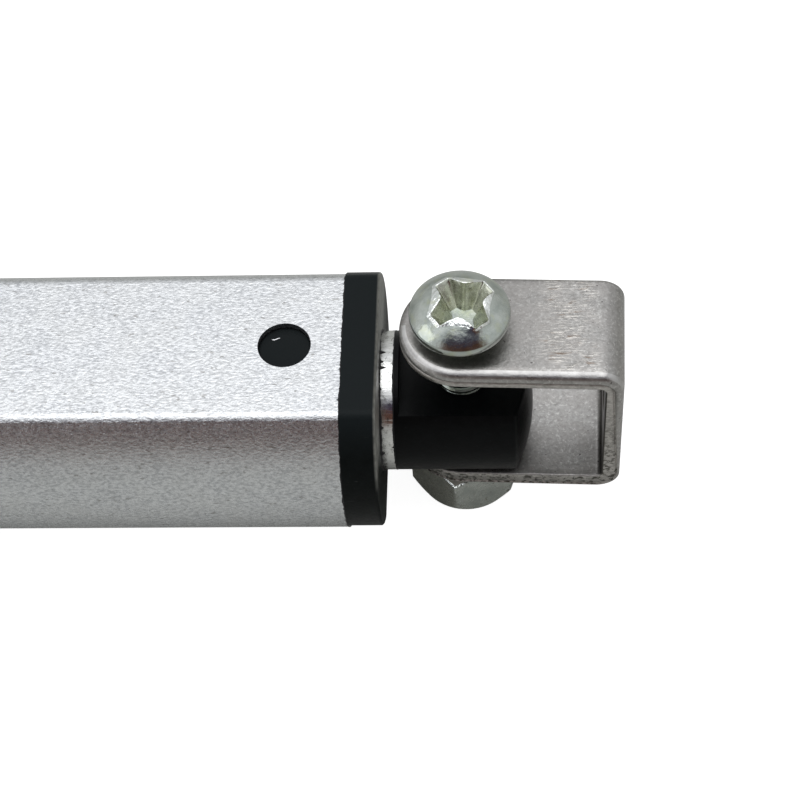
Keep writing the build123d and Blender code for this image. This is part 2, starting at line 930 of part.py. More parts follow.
with BuildPart() as front_limit_switch:
    block(front_switch_x, switch_y, -switch_drop, switch_length, switch_depth, switch_height)
    plunger_pocket(front_switch_x)

with BuildPart() as rear_limit_switch:
    block(rear_switch_x, switch_y, -switch_drop, switch_length, switch_depth, switch_height)
    plunger_pocket(rear_switch_x + switch_length - pocket_length)

with BuildPart() as front_switch_plunger:
    block(front_plunger_x, switch_y, -switch_drop, plunger_length, plunger_depth, plunger_height)

with BuildPart() as rear_switch_plunger:
    block(rear_plunger_x, switch_y, -switch_drop, plunger_length, plunger_depth, plunger_height)

lead_back = motor_rear - lead_turn - lead_bend
terminal_tip = bell_x - terminal_length
lead_routes = [
    [
        (board_rear, -lead_line, lead_spacing),
        (lead_back, -lead_line, lead_spacing),
        (lead_back, -terminal_offset, lead_spacing),
        (terminal_tip, -terminal_offset, lead_spacing),
    ],
    [
        (board_rear, -lead_line, -lead_spacing),
        (lead_back - lead_bend, -lead_line, -lead_spacing),
        (lead_back - lead_bend, terminal_offset, -lead_spacing),
        (terminal_tip, terminal_offset, -lead_spacing),
    ],
]

with BuildPart() as motor_leads:
    for route in lead_routes:
        with BuildLine() as path:
            FilletPolyline(*route, radius=lead_bend)
        start = Plane(origin=route[0], x_dir=(0, 1, 0), z_dir=(-1, 0, 0))
        with BuildSketch(start) as round_section:
            Circle(lead_diameter / 2)
        sweep(round_section.sketch, path=path.line)


# Rod
with BuildPart() as rod_tube:
    turned(carriage_front, rod_diameter, rod_front - carriage_front)
    turned(carriage_front, rod_bore, rod_front - carriage_front, mode=Mode.SUBTRACT)

with BuildPart() as nut_carriage:
    flattened(carriage_rear, plug_width, plug_height, carriage_length)
    turned(carriage_rear, rod_bore, carriage_length, mode=Mode.SUBTRACT)
    turned(carriage_rear, nut_flange_diameter, nut_flange_length, mode=Mode.SUBTRACT)
    guide_slot = plug_width / 2 - board_inner + carriage_board_clearance
    block(
        carriage_rear,
        -plug_width / 2,
        0,
        carriage_length,
        2 * guide_slot,
        board_height + 2 * carriage_board_clearance,
        mode=Mode.SUBTRACT,
    )

with BuildPart() as lead_nut:
    turned(
        carriage_rear,
        rod_bore - 2 * nut_barrel_clearance,
        carriage_length + nut_in_rod,
    )
    turned(carriage_rear, nut_flange_diameter - 2 * nut_barrel_clearance, nut_flange_length)
    turned(
        carriage_rear,
        lead_screw_diameter + 2 * screw_nut_clearance,
        carriage_length + nut_in_rod,
        mode=Mode.SUBTRACT,
    )

rod_end_radius = rod_diameter / 2
crown_drop = rod_end_crown_radius - sqrt(rod_end_crown_radius**2 - rod_end_radius**2)

with BuildPart() as rod_end:
    body_start = rod_front + rod_end_collar
    with BuildSketch(Plane.XY):
        with BuildLine():
            Polyline(
                (rod_end_tip, 0),
                (body_start, 0),
                (body_start, rod_end_radius),
                (rod_end_tip - crown_drop, rod_end_radius),
            )
            RadiusArc(
                (rod_end_tip - crown_drop, rod_end_radius),
                (rod_end_tip, 0),
                rod_end_crown_radius,
            )
        make_face()
    revolve(axis=Axis.X)
    with BuildSketch(section(body_start)):
        Rectangle(rod_diameter, rod_end_thickness)
    extrude(amount=rod_end_tip - body_start, mode=Mode.INTERSECT)
    fillet(rod_end.faces().sort_by(Axis.X)[-1].edges(), rod_end_edge)
    turned(rod_front, rod_diameter, rod_end_collar)
    turned(rod_front - spigot_length, rod_bore - 2 * spigot_clearance, spigot_length)
    with Locations((pivot_x, 0, rod_end_thickness / 2)):
        Hole(screw_diameter / 2 + pivot_clearance, depth=rod_end_thickness)


# Bracket
bracket_bottom = -(rod_end_thickness / 2 + bracket_seat_gap + bracket_sheet)
bracket_top = bracket_bottom + bracket_height
bracket_middle = (bracket_bottom + bracket_top) / 2
bracket_length = bracket_width / 2 + bracket_reach
arm_tip = pivot_x - bracket_width / 2

with BuildPart() as u_bracket:
    with BuildSketch(Plane.XZ) as bracket_side:
        with Locations((arm_tip, bracket_middle)):
            Rectangle(bracket_length, bracket_height, align=(Align.MIN, Align.CENTER))
        fillet(bracket_side.vertices().group_by(Axis.X)[-1], bracket_bend)
    extrude(amount=bracket_width / 2, both=True)
    with BuildSketch(Plane.XZ) as bracket_gap:
        with Locations((arm_tip, bracket_middle)):
            Rectangle(
                bracket_length - bracket_sheet,
                bracket_height - 2 * bracket_sheet,
                align=(Align.MIN, Align.CENTER),
            )
        fillet(bracket_gap.vertices().group_by(Axis.X)[-1], bracket_inner_bend)
    extrude(amount=bracket_width / 2, both=True, mode=Mode.SUBTRACT)
    with BuildSketch(Plane.XY.offset(bracket_bottom)):
        with Locations((pivot_x, 0)):
            Circle(bracket_width / 2)
            Rectangle(bracket_reach, bracket_width, align=(Align.MIN, Align.CENTER))
    extrude(amount=bracket_height, mode=Mode.INTERSECT)
    with Locations((pivot_x, 0, bracket_top)):
        Hole(arm_hole_diameter / 2, depth=bracket_height)
    with Locations(section(pivot_x + bracket_reach)):
        with Locations((0, bracket_middle)):
            Hole(web_hole_diameter / 2, depth=bracket_sheet)

head_foot = bracket_top + head_lift
head_top = head_foot + head_height
head_radius = head_diameter / 2
dome_height = head_height - head_rim_height
head_dome_radius = (head_radius**2 + dome_height**2) / (2 * dome_height)

with BuildPart() as pivot_screw:
    with BuildSketch(Plane.XZ):
        with BuildLine():
            rim_foot = (pivot_x + head_radius, head_foot + head_rim_foot)
            rim_top = (pivot_x + head_radius, head_foot + head_rim_height)
            crown = (pivot_x, head_top)
            Polyline(
                crown,
                (pivot_x, head_foot - screw_length),
                (pivot_x + screw_diameter / 2 - screw_tip_chamfer, head_foot - screw_length),
                (pivot_x + screw_diameter / 2, head_foot - screw_length + screw_tip_chamfer),
                (pivot_x + screw_diameter / 2, head_foot),
                (pivot_x + head_radius - head_foot_inset, head_foot),
                rim_foot,
                rim_top,
            )
            RadiusArc(rim_top, crown, -head_dome_radius)
        make_face()
    revolve(axis=Axis((pivot_x, 0, 0), (0, 0, 1)))

nut_corner_radius = nut_across_flats / sqrt(3)
corner_drop = (nut_corner_radius - nut_face_diameter / 2) * tan(nut_chamfer)

with BuildPart() as pivot_nut:
    with BuildSketch(Plane.XY.offset(bracket_bottom - nut_height)):
        with Locations((pivot_x, 0)):
            RegularPolygon(nut_corner_radius, 6, rotation=nut_turn)
    extrude(amount=nut_height)
    with BuildSketch(Plane.XZ):
        with BuildLine():
            nut_bottom = bracket_bottom - nut_height
            Polyline(
                (pivot_x, nut_bottom),
                (pivot_x + nut_face_diameter / 2, nut_bottom),
                (pivot_x + nut_corner_radius, nut_bottom + corner_drop),
                (pivot_x + nut_corner_radius, bracket_bottom - corner_drop),
                (pivot_x + nut_face_diameter / 2, bracket_bottom),
                (pivot_x, bracket_bottom),
                close=True,
            )
        make_face()
    revolve(axis=Axis((pivot_x, 0, 0), (0, 0, 1)), mode=Mode.INTERSECT)
    with Locations((pivot_x, 0, bracket_bottom)):
        Hole(screw_diameter / 2 + nut_clearance, depth=nut_height)


pieces = {
    "housing_tube": housing_tube,
    "front_cap": front_cap,
    "rod_guide_bush": rod_guide_bush,
    "rod_seal": rod_seal,
    "rear_cap": rear_cap,
    "cable_grommet": cable_grommet,
    "bearing_block": bearing_block,
    "block_screws": block_screws,
    "bearing_outer_race": bearing_outer_race,
    "bearing_inner_race": bearing_inner_race,
    "bearing_balls": bearing_balls,
    "bearing_cage": bearing_cage,
    "lead_screw": lead_screw,
    "retaining_clip": retaining_clip,
    "coupling_sleeve": coupling_sleeve,
    "coupling_pins": coupling_pins,
    "gearbox_front_plate": gearbox_front_plate,
    "gearbox_rear_plate": gearbox_rear_plate,
    "gearbox_pillars": gearbox_pillars,
    "gearbox_screws": gearbox_screws,
    "gear_arbor": gear_arbor,
    "output_bush": output_bush,
    "output_shaft": output_shaft,
    "output_gear": output_gear,
    "first_compound_gear": first_compound_gear,
    "second_compound_gear": second_compound_gear,
    "third_compound_gear": third_compound_gear,
    "motor_pinion": motor_pinion,
    "motor_can": motor_can,
    "motor_front_bush": motor_front_bush,
    "motor_screws": motor_screws,
    "motor_magnets": motor_magnets,
    "armature_core": armature_core,
    "armature_windings": armature_windings,
    "commutator": commutator,
    "motor_shaft": motor_shaft,
    "motor_end_bell": motor_end_bell,
    "motor_rear_bush": motor_rear_bush,
    "motor_brushes": motor_brushes,
    "motor_terminals": motor_terminals,
    "motor_leads": motor_leads,
    "switch_board": switch_board,
    "switch_diodes": switch_diodes,
    "front_limit_switch": front_limit_switch,
    "rear_limit_switch": rear_limit_switch,
    "front_switch_plunger": front_switch_plunger,
    "rear_switch_plunger": rear_switch_plunger,
    "rod_tube": rod_tube,
    "nut_carriage": nut_carriage,
    "lead_nut": lead_nut,
    "rod_end": rod_end,
    "u_bracket": u_bracket,
    "pivot_screw": pivot_screw,
    "pivot_nut": pivot_nut,
}

os.makedirs("parts", exist_ok=True)
for name, piece in pieces.items():
    piece.part.label = name
    export_step(piece.part, f"parts/{name}.step")
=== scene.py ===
import json
import random
from math import atan2, cos, pi, radians, sin, sqrt

import bmesh
import bpy
from mathutils import Matrix, Vector


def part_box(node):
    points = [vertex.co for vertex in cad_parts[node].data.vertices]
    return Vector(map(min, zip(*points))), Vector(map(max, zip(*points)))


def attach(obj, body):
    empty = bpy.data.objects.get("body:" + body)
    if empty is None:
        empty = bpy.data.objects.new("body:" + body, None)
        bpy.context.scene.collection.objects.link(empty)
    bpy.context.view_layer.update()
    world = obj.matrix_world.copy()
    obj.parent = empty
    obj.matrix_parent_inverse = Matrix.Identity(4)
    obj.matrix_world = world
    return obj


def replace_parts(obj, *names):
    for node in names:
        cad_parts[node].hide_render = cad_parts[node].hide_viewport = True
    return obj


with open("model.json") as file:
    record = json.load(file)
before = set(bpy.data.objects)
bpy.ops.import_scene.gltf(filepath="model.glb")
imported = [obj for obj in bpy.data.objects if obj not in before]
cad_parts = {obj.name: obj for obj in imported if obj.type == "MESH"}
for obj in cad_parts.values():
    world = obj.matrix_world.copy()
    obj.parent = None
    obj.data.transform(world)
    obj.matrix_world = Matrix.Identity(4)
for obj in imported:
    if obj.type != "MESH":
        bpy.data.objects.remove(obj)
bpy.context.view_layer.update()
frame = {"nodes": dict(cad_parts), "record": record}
record = frame["record"]

# Everything is in metres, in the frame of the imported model: +X is the way the rod travels.
mm = 0.001
pivot_x = 155.0 * mm
tube_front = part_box("housing_tube")[1].x
cap_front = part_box("front_cap")[1].x
rod_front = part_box("rod_tube")[1].x


# Camera
# A pinhole camera fitted to the edges of the tube, the cap, the bracket and the screw.
camera_azimuth = radians(5.834)
camera_elevation = radians(56.117)
camera_roll = radians(-5.341)
camera_distance = 162.48 * mm
camera_shift_right = 4.002 * mm
camera_shift_up = 0.023 * mm
focal_pixels = 2050.3
image_pixels = 800
sensor_width = 36.0


def add_camera():
    azimuth, elevation = camera_azimuth, camera_elevation
    back = Vector((
        sin(azimuth) * cos(elevation),
        -cos(azimuth) * cos(elevation),
        sin(elevation),
    ))
    level = Vector((cos(azimuth), sin(azimuth), 0))
    upright = back.cross(level)
    right = cos(camera_roll) * level + sin(camera_roll) * upright
    up = cos(camera_roll) * upright - sin(camera_roll) * level
    data = bpy.data.cameras.new("camera")
    data.sensor_fit = "HORIZONTAL"
    data.sensor_width = sensor_width
    data.lens = focal_pixels / image_pixels * sensor_width
    data.clip_start = 1 * mm
    data.clip_end = 10
    camera = bpy.data.objects.new("camera", data)
    bpy.context.scene.collection.objects.link(camera)
    place = Vector((tube_front, 0, 0)) + back * camera_distance
    place += right * camera_shift_right + up * camera_shift_up
    turn = Matrix((right, up, back)).transposed().to_4x4()
    camera.matrix_world = Matrix.Translation(place) @ turn
    bpy.context.scene.camera = camera
    return back


# Nodes
def add_node(tree, kind, inputs=None, **settings):
    """Add a shader node; an input may be a value or the socket that feeds it."""
    made = tree.nodes.new(kind)
    for name, value in settings.items():
        setattr(made, name, value)
    for name, value in (inputs or {}).items():
        if isinstance(value, bpy.types.NodeSocket):
            tree.links.new(value, made.inputs[name])
        else:
            made.inputs[name].default_value = value
    return made


def object_point(tree):
    return add_node(tree, "ShaderNodeTexCoord").outputs["Object"]


def noise(tree, per_mm, detail=2.0, roughness=0.5, shift=0.0, distortion=0.0):
    """Noise with per_mm features to the millimetre, one number or one for each axis. The shift
    keeps the noises of a material apart."""
    scale = per_mm if isinstance(per_mm, tuple) else (per_mm,) * 3
    placed = add_node(
        tree,
        "ShaderNodeMapping",
        {
            "Vector": object_point(tree),
            "Scale": [features / mm for features in scale],
            "Location": [shift] * 3,
        },
    )
    made = add_node(
        tree,
        "ShaderNodeTexNoise",
        {
            "Vector": placed.outputs["Vector"],
            "Scale": 1.0,
            "Detail": detail,
            "Roughness": roughness,
            "Distortion": distortion,
        },
    )
    return made.outputs["Fac"]


def remap(tree, value, low, high, to_low=0.0, to_high=1.0):
    made = add_node(
        tree,
        "ShaderNodeMapRange",
        {"Value": value, "From Min": low, "From Max": high, "To Min": to_low, "To Max": to_high},
    )
    return made.outputs["Result"]


def maths(tree, operation, first, second=0.0):
    made = add_node(tree, "ShaderNodeMath", {0: first, 1: second}, operation=operation)
    return made.outputs["Value"]


def times(tree, *values):
    """Product of numbers and sockets."""
    product = values[0]
    for value in values[1:]:
        product = maths(tree, "MULTIPLY", product, value)
    return product


def between(tree, value, start, full, fading, end):
    """One from full to fading, which falls to zero at start and at end."""
    return times(tree, remap(tree, value, start, full), remap(tree, value, end, fading))


def mix_colour(tree, share, first, second):
    made = add_node(tree, "ShaderNodeMix", data_type="RGBA")
    for socket, value in ((0, share), (6, first), (7, second)):
        if isinstance(value, bpy.types.NodeSocket):
            tree.links.new(value, made.inputs[socket])
        elif socket == 0:
            made.inputs[socket].default_value = value
        else:
            made.inputs[socket].default_value = (*value, 1)
    return made.outputs[2]


def axis_value(tree, axis):
    """The object's own coordinate along an axis, in millimetres."""
    parts = add_node(tree, "ShaderNodeSeparateXYZ", {"Vector": object_point(tree)})
    return times(tree, parts.outputs[axis], 1 / mm)


def bump(tree, height, depth):
    """A bump whose height of one is depth, in metres."""
    made = add_node(tree, "ShaderNodeBump", {"Height": height, "Distance": depth, "Strength": 1.0})
    return made.outputs["Normal"]


def new_material(name, **constants):
    material = bpy.data.materials.new(name)
    material.use_nodes = True
    tree = material.node_tree
    tree.nodes.clear()
    shader = add_node(tree, "ShaderNodeBsdfPrincipled")
    for socket, value in constants.items():
        shader.inputs[socket.replace("_", " ")].default_value = value
    output = add_node(tree, "ShaderNodeOutputMaterial")
    tree.links.new(shader.outputs["BSDF"], output.inputs["Surface"])
    return material, tree, shader


def feed(tree, shader, **sockets):
    for name, value in sockets.items():
        tree.links.new(value, shader.inputs[name.replace("_", " ")])


# Materials
def anodised_tube():
    """Bead blasted and anodised extrusion, its grain drawn out along the tube."""
    material, tree, shader = new_material("anodised_tube", Metallic=1.0)
    grain = noise(tree, (3.0, 5.4, 5.4), 3.0, 0.6)
    fine = noise(tree, (7.0, 10.0, 10.0), 2.0, 0.6, shift=3.1)
    cloud = noise(tree, 0.35, 2.0, 0.5, shift=7.7)
    pits = remap(tree, noise(tree, (1.4, 2.8, 2.8), 2.0, 0.5, shift=11.3), 0.67, 0.71)
    light = remap(tree, grain, 0.36, 0.60)
    base = mix_colour(tree, light, (0.50, 0.51, 0.53), (0.80, 0.81, 0.83))
    base = mix_colour(tree, remap(tree, cloud, 0.35, 0.65, 0.0, 0.25), base, (0.74, 0.74, 0.73))
    base = mix_colour(tree, times(tree, pits, 0.65), base, (0.30, 0.29, 0.28))
    height = maths(tree, "ADD", grain, times(tree, fine, 0.35))
    feed(
        tree,
        shader,
        Base_Color=base,
        Roughness=remap(tree, fine, 0.3, 0.7, 0.24, 0.34),
        Normal=bump(tree, height, 0.040 * mm),
    )
    return material


# The front cap, in millimetres: where its face begins and is in full, where the painted sheen on
# the top begins and is in full, and where the painted light on the upper face begins and is in
# full. Then the face's shine, and the lower face's lesser shine, a painted shade.
cap_face = (148.42, 148.60)
cap_sheen_height = (5.0, 7.4)
cap_lit_face_height = (2.0, 4.0)
cap_specular = 0.09
cap_shaded_specular = 0.02


def cap_sheen_and_shade(tree, shader, base):
    """A painted sheen on the top, painted light on the upper face, and less shine below, a painted
    shade on the lower face.
    """
    height = axis_value(tree, 2)
    face = remap(tree, axis_value(tree, 0), *cap_face)
    # Painted sheen: the top is lighter and bluer.
    top_sheen = remap(tree, height, *cap_sheen_height)
    base = mix_colour(tree, top_sheen, base, (0.0088, 0.0122, 0.0135))
    # Painted light: a pale patch on the upper part of the face.
    patchy = remap(tree, noise(tree, 1.6, 3.0, 0.6, shift=21.0), 0.25, 0.6, 0.5, 1.0)
    lit_face = times(tree, face, remap(tree, height, *cap_lit_face_height), patchy)
    # Painted shade: less shine on the lower part of the face.
    shaded_low_face = times(tree, face, remap(tree, height, cap_lit_face_height[0], 0.0))
    shine = remap(tree, shaded_low_face, 0.0, 1.0, cap_specular, cap_shaded_specular)
    feed(tree, shader, Specular_IOR_Level=shine)
    return mix_colour(tree, lit_face, base, (0.24, 0.24, 0.22))


def moulded_plastic(
    name, dark, light, gloss=(0.38, 0.55), specular=0.3, scuffs=0.4, finish=None
):
    """Moulded plastic with a faint mottle, a soft bump and a few pale scuffs."""
    material, tree, shader = new_material(name, Specular_IOR_Level=specular)
    mottle = noise(tree, 1.3, 4.0, 0.6)
    fine = noise(tree, 9.0, 3.0, 0.6, shift=5.3)
    scratch = remap(tree, noise(tree, (0.9, 9.0, 9.0), 2.0, 0.5, 17.1, 0.4), 0.70, 0.76)
    base = mix_colour(tree, remap(tree, mottle, 0.3, 0.7), dark, light)
    pale = tuple(min(1, 3 * channel + 0.05) for channel in light)
    base = mix_colour(tree, times(tree, scratch, scuffs), base, pale)
    if finish:
        base = finish(tree, shader, base)
    height = maths(tree, "ADD", times(tree, mottle, 0.8), times(tree, fine, 0.2))
    feed(
        tree,
        shader,
        Base_Color=base,
        Roughness=remap(tree, fine, 0.3, 0.7, *gloss),
        Normal=bump(tree, height, 0.035 * mm),
    )
    return material


def plain_metal(name, dark, light, gloss, grain=3.0, depth=0.008, stains=0.0, stain=None):
    """Machined, drawn or plated metal: a fine grain, cloudy gloss and optional stains."""
    material, tree, shader = new_material(name, Metallic=1.0)
    cloud = noise(tree, 0.9, 4.0, 0.6)
    fine = noise(tree, grain, 3.0, 0.6, shift=2.7)
    base = mix_colour(tree, remap(tree, cloud, 0.3, 0.7), dark, light)
    if stains:
        spots = remap(tree, noise(tree, 2.2, 3.0, 0.6, shift=9.1), 0.60, 0.72)
        base = mix_colour(tree, times(tree, spots, stains), base, stain)
    feed(
        tree,
        shader,
        Base_Color=base,
        Roughness=remap(tree, times(tree, cloud, fine), 0.1, 0.4, *gloss),
        Normal=bump(tree, fine, depth * mm),
    )
    return material


# Zones of the bracket, in millimetres: where each begins, is in full, fades and ends.
drag_marks_along = (160.4, 161.8, 164.4, 165.6)
# The painted shade on the inner face of the web:
web_shade_along = (165.55, 165.75, 166.4, 166.8)
web_shade_height = (-4.0, -3.4, 8.0, 8.6)
# Where the arm's top, the shade on it and the stain on the edge begin and are in full.
arm_top = (9.4, 9.6)
arm_shade_along = (163.5, 158.0)
edge_stain_height = (6.0, -3.5)


def bracket_steel():
    """Stamped stainless sheet: fine grain and specks, drag marks near the bend on top, painted
    shade on the arm's top towards the head, and painted shade inside the web."""
    material, tree, shader = new_material("bracket_steel", Metallic=1.0)
    x = axis_value(tree, 0)
    z = axis_value(tree, 2)
    on_top = remap(tree, z, *arm_top)
    grain = noise(tree, 3.2, 4.0, 0.65)
    cloud = noise(tree, 0.5, 3.0, 0.5, shift=4.4)
    light = remap(tree, grain, 0.35, 0.65)
    base = mix_colour(tree, light, (0.30, 0.29, 0.28), (0.46, 0.45, 0.44))
    base = mix_colour(tree, remap(tree, cloud, 0.4, 0.6, 0.0, 0.35), base, (0.47, 0.445, 0.43))
    glints = remap(tree, noise(tree, 4.6, 2.0, 0.6, shift=1.8), 0.57, 0.66)
    base = mix_colour(tree, times(tree, glints, 0.5), base, (0.70, 0.69, 0.67))
    patch = remap(tree, noise(tree, 0.55, 2.0, 0.5, shift=14.2), 0.42, 0.56, 0.15, 1.0)
    near_bend = times(tree, between(tree, x, *drag_marks_along), patch, on_top)
    drawn = noise(tree, (1.0, 6.6, 0.8), 3.0, 0.7, shift=6.2)
    marks = times(tree, remap(tree, drawn, 0.48, 0.60), near_bend)
    base = mix_colour(tree, times(tree, marks, 0.95), base, (0.83, 0.795, 0.75))
    brown = remap(tree, noise(tree, (0.8, 3.4, 0.8), 2.0, 0.5, shift=19.0), 0.60, 0.70)
    base = mix_colour(tree, times(tree, brown, near_bend, 0.8), base, (0.24, 0.17, 0.125))
    specks = remap(tree, noise(tree, 2.6, 1.0, 0.5, shift=8.8), 0.73, 0.77)
    base = mix_colour(tree, times(tree, specks, 0.85), base, (0.09, 0.08, 0.08))
    # Painted shade on the arm's top towards the screw head.
    tone = times(tree, on_top, remap(tree, x, *arm_shade_along, 0.25, 1.0), 0.45)
    base = mix_colour(tree, tone, base, (0.20, 0.19, 0.18))
    # Painted shade: the inner face of the web is darkened.
    scale = times(
        tree, between(tree, x, *web_shade_along), between(tree, z, *web_shade_height)
    )
    base = mix_colour(tree, scale, base, (0.085, 0.080, 0.072))
    height = maths(tree, "ADD", grain, times(tree, marks, 0.8))
    feed(
        tree,
        shader,
        Base_Color=base,
        Roughness=remap(tree, cloud, 0.3, 0.7, 0.30, 0.42),
        Normal=bump(tree, height, 0.020 * mm),
    )
    return material


def bracket_edge():
    """The sheared edge of the bracket: a torn, stained band between polished corners, whose
    brightness on the upper arm's near side is a painted highlight.
    """
    material, tree, shader = new_material("bracket_edge", Metallic=1.0)
    tear = noise(tree, (2.0, 2.0, 4.5), 4.0, 0.7)
    stain = remap(tree, noise(tree, (2.2, 2.2, 3.0), 5.0, 0.7, shift=5.9), 0.48, 0.57)
    light = remap(tree, tear, 0.3, 0.7)
    base = mix_colour(tree, light, (0.37, 0.352, 0.335), (0.70, 0.67, 0.64))
    low = remap(tree, axis_value(tree, 2), *edge_stain_height, 0.2, 0.9)
    base = mix_colour(tree, times(tree, stain, low), base, (0.055, 0.052, 0.04))
    feed(
        tree,
        shader,
        Base_Color=base,
        Roughness=remap(tree, tear, 0.3, 0.7, 0.32, 0.55),
        Normal=bump(tree, tear, 0.03 * mm),
    )
    return material


def polished_rod():
    """Polished steel with short drag marks and dark flecks."""
    material, tree, shader = new_material("polished_rod", Metallic=1.0)
    flecks = remap(tree, noise(tree, (3.4, 2.2, 2.2), 4.0, 0.65), 0.56, 0.66)
    smear = noise(tree, (0.8, 3.5, 3.5), 4.0, 0.6, shift=3.3)
    light = remap(tree, smear, 0.35, 0.65)
    base = mix_colour(tree, light, (0.66, 0.66, 0.64), (0.86, 0.86, 0.85))
    base = mix_colour(tree, times(tree, flecks, 0.6), base, (0.12, 0.12, 0.11))
    feed(
        tree,
        shader,
        Base_Color=base,
        Roughness=remap(tree, smear, 0.3, 0.7, 0.10, 0.24),
        Normal=bump(tree, smear, 0.02 * mm),
    )
    return material


def zinc_plate(name, dark, light, gloss, ripple_depth):
    """Bright zinc plate: a cool, faintly green silver that clouds over."""
    material, tree, shader = new_material(name, Metallic=1.0)
    cloud = noise(tree, 0.8, 3.0, 0.6)
    ripple = noise(tree, 2.6, 2.0, 0.5, shift=6.6)
    tint = noise(tree, 1.1, 3.0, 0.6, shift=12.5)
    olive = (0.9 * light[0], 0.9 * light[1], 0.65 * light[2])
    base = mix_colour(tree, remap(tree, cloud, 0.35, 0.65), dark, light)
    base = mix_colour(tree, remap(tree, tint, 0.52, 0.7, 0.0, 0.5), base, olive)
    feed(
        tree,
        shader,
        Base_Color=base,
        Roughness=remap(tree, cloud, 0.3, 0.7, *gloss),
        Normal=bump(tree, ripple, ripple_depth * mm),
    )
    return material


# Where the painted shade on the nut's faces towards the tube begins and is in full, in millimetres.
nut_shaded_side = (154.45, 153.95)


def nut_steel():
    """Plated nut, with painted shade on the faces towards the tube."""
    material, tree, shader = new_material("nut_steel", Metallic=1.0)
    cloud = noise(tree, 0.9, 4.0, 0.6)
    fine = noise(tree, 2.4, 3.0, 0.6, shift=2.7)
    spots = remap(tree, noise(tree, 2.2, 3.0, 0.6, shift=9.1), 0.58, 0.70)
    light = remap(tree, cloud, 0.3, 0.7)
    base = mix_colour(tree, light, (0.50, 0.53, 0.50), (0.70, 0.72, 0.68))
    # Painted shade on the faces towards the tube.
    inward = remap(tree, axis_value(tree, 0), *nut_shaded_side)
    base = mix_colour(tree, times(tree, inward, 0.62), base, (0.22, 0.215, 0.165))
    base = mix_colour(tree, times(tree, spots, 0.6), base, (0.20, 0.18, 0.14))
    feed(
        tree,
        shader,
        Base_Color=base,
        Roughness=remap(tree, times(tree, cloud, fine), 0.1, 0.4, 0.20, 0.34),
        Normal=bump(tree, fine, 0.012 * mm),
    )
    return material


materials = {
    "anodised_tube": anodised_tube(),
    "black_cap": moulded_plastic(
        "black_cap", (0.0012, 0.0022, 0.0022), (0.003, 0.0046, 0.0046), (0.32, 0.46),
        cap_specular, finish=cap_sheen_and_shade,
    ),
    "rod_end_plastic": moulded_plastic(
        "rod_end_plastic", (0.0015, 0.002, 0.0022), (0.003, 0.0035, 0.004), (0.30, 0.42), 0.1, 0.12
    ),
    "guide_plastic": moulded_plastic("guide_plastic", (0.72, 0.70, 0.64), (0.86, 0.85, 0.80)),
    "bronze": plain_metal("bronze", (0.42, 0.25, 0.12), (0.58, 0.38, 0.20), (0.30, 0.50), 5.0),
    "rubber": moulded_plastic("rubber", (0.010, 0.010, 0.010), (0.020, 0.020, 0.020), (0.6, 0.8)),
    "zinc_steel": zinc_plate(
        "zinc_steel", (0.42, 0.46, 0.43), (0.60, 0.635, 0.60), (0.14, 0.24), 0.018
    ),
    "nut_steel": nut_steel(),
    "bearing_steel": plain_metal(
        "bearing_steel", (0.55, 0.55, 0.55), (0.68, 0.68, 0.68), (0.10, 0.22), 4.0, 0.003
    ),
    "spring_steel": plain_metal(
        "spring_steel", (0.16, 0.15, 0.14), (0.26, 0.25, 0.23), (0.25, 0.40)
    ),
    "brass": plain_metal("brass", (0.62, 0.45, 0.18), (0.78, 0.60, 0.28), (0.20, 0.35)),
    "screw_steel": plain_metal(
        "screw_steel", (0.42, 0.42, 0.42), (0.56, 0.56, 0.55), (0.22, 0.36), 3.0, 0.006, 0.4,
        (0.20, 0.16, 0.10),
    ),
    "motor_steel": plain_metal(
        "motor_steel", (0.48, 0.48, 0.46), (0.62, 0.62, 0.60), (0.25, 0.40)
    ),
    "magnet": plain_metal("magnet", (0.05, 0.05, 0.055), (0.10, 0.10, 0.11), (0.5, 0.7), 6.0),
    "lamination": plain_metal("lamination", (0.24, 0.24, 0.25), (0.34, 0.34, 0.35), (0.35, 0.5)),
    "copper": plain_metal("copper", (0.58, 0.24, 0.12), (0.80, 0.42, 0.24), (0.20, 0.35), 5.0),
    "lead_insulation": moulded_plastic(
        "lead_insulation", (0.35, 0.02, 0.015), (0.50, 0.04, 0.03), (0.35, 0.5)
    ),
    "circuit_board": moulded_plastic(
        "circuit_board", (0.015, 0.11, 0.045), (0.03, 0.20, 0.09), (0.25, 0.4)
    ),
    "switch_black": moulded_plastic("switch_black", (0.008, 0.008, 0.009), (0.018, 0.018, 0.02)),
    "plunger_white": moulded_plastic("plunger_white", (0.70, 0.70, 0.66), (0.86, 0.86, 0.82)),
    "polished_rod": polished_rod(),
    "bracket_steel": bracket_steel(),
}
edge_steel = bracket_edge()
# Painted shade: a dark steel in the groove under the bracket's rolled corner.
groove_shade_steel = plain_metal("groove_shade_steel", (0.05, 0.045, 0.04), (0.22, 0.21, 0.19), (0.4, 0.6), 3.0)
# Painted highlight: a lighter steel on the rolled corner of the upper arm's near side.
corner_highlight_steel = plain_metal(
    "corner_highlight_steel", (0.40, 0.39, 0.385), (0.62, 0.61, 0.60), (0.28, 0.40), 4.0, 0.02
)
turned_steel = plain_metal(
    "turned_steel", (0.36, 0.36, 0.32), (0.50, 0.50, 0.45), (0.60, 0.72), 3.0, 0.02
)
# Painted shade: a darker, olive plate on the recess's walls and floor.
recess_shade_zinc = zinc_plate("recess_shade_zinc", (0.44, 0.455, 0.39), (0.67, 0.69, 0.61), (0.2, 0.3), 0.03)
# Painted highlight: a base brighter than the plate on the raised lip round the recess and on the
# nut's corners, with the lower roughness of real polish.
lip_highlight_zinc = zinc_plate("lip_highlight_zinc", (0.74, 0.77, 0.75), (0.92, 0.94, 0.92), (0.08, 0.16), 0.12)


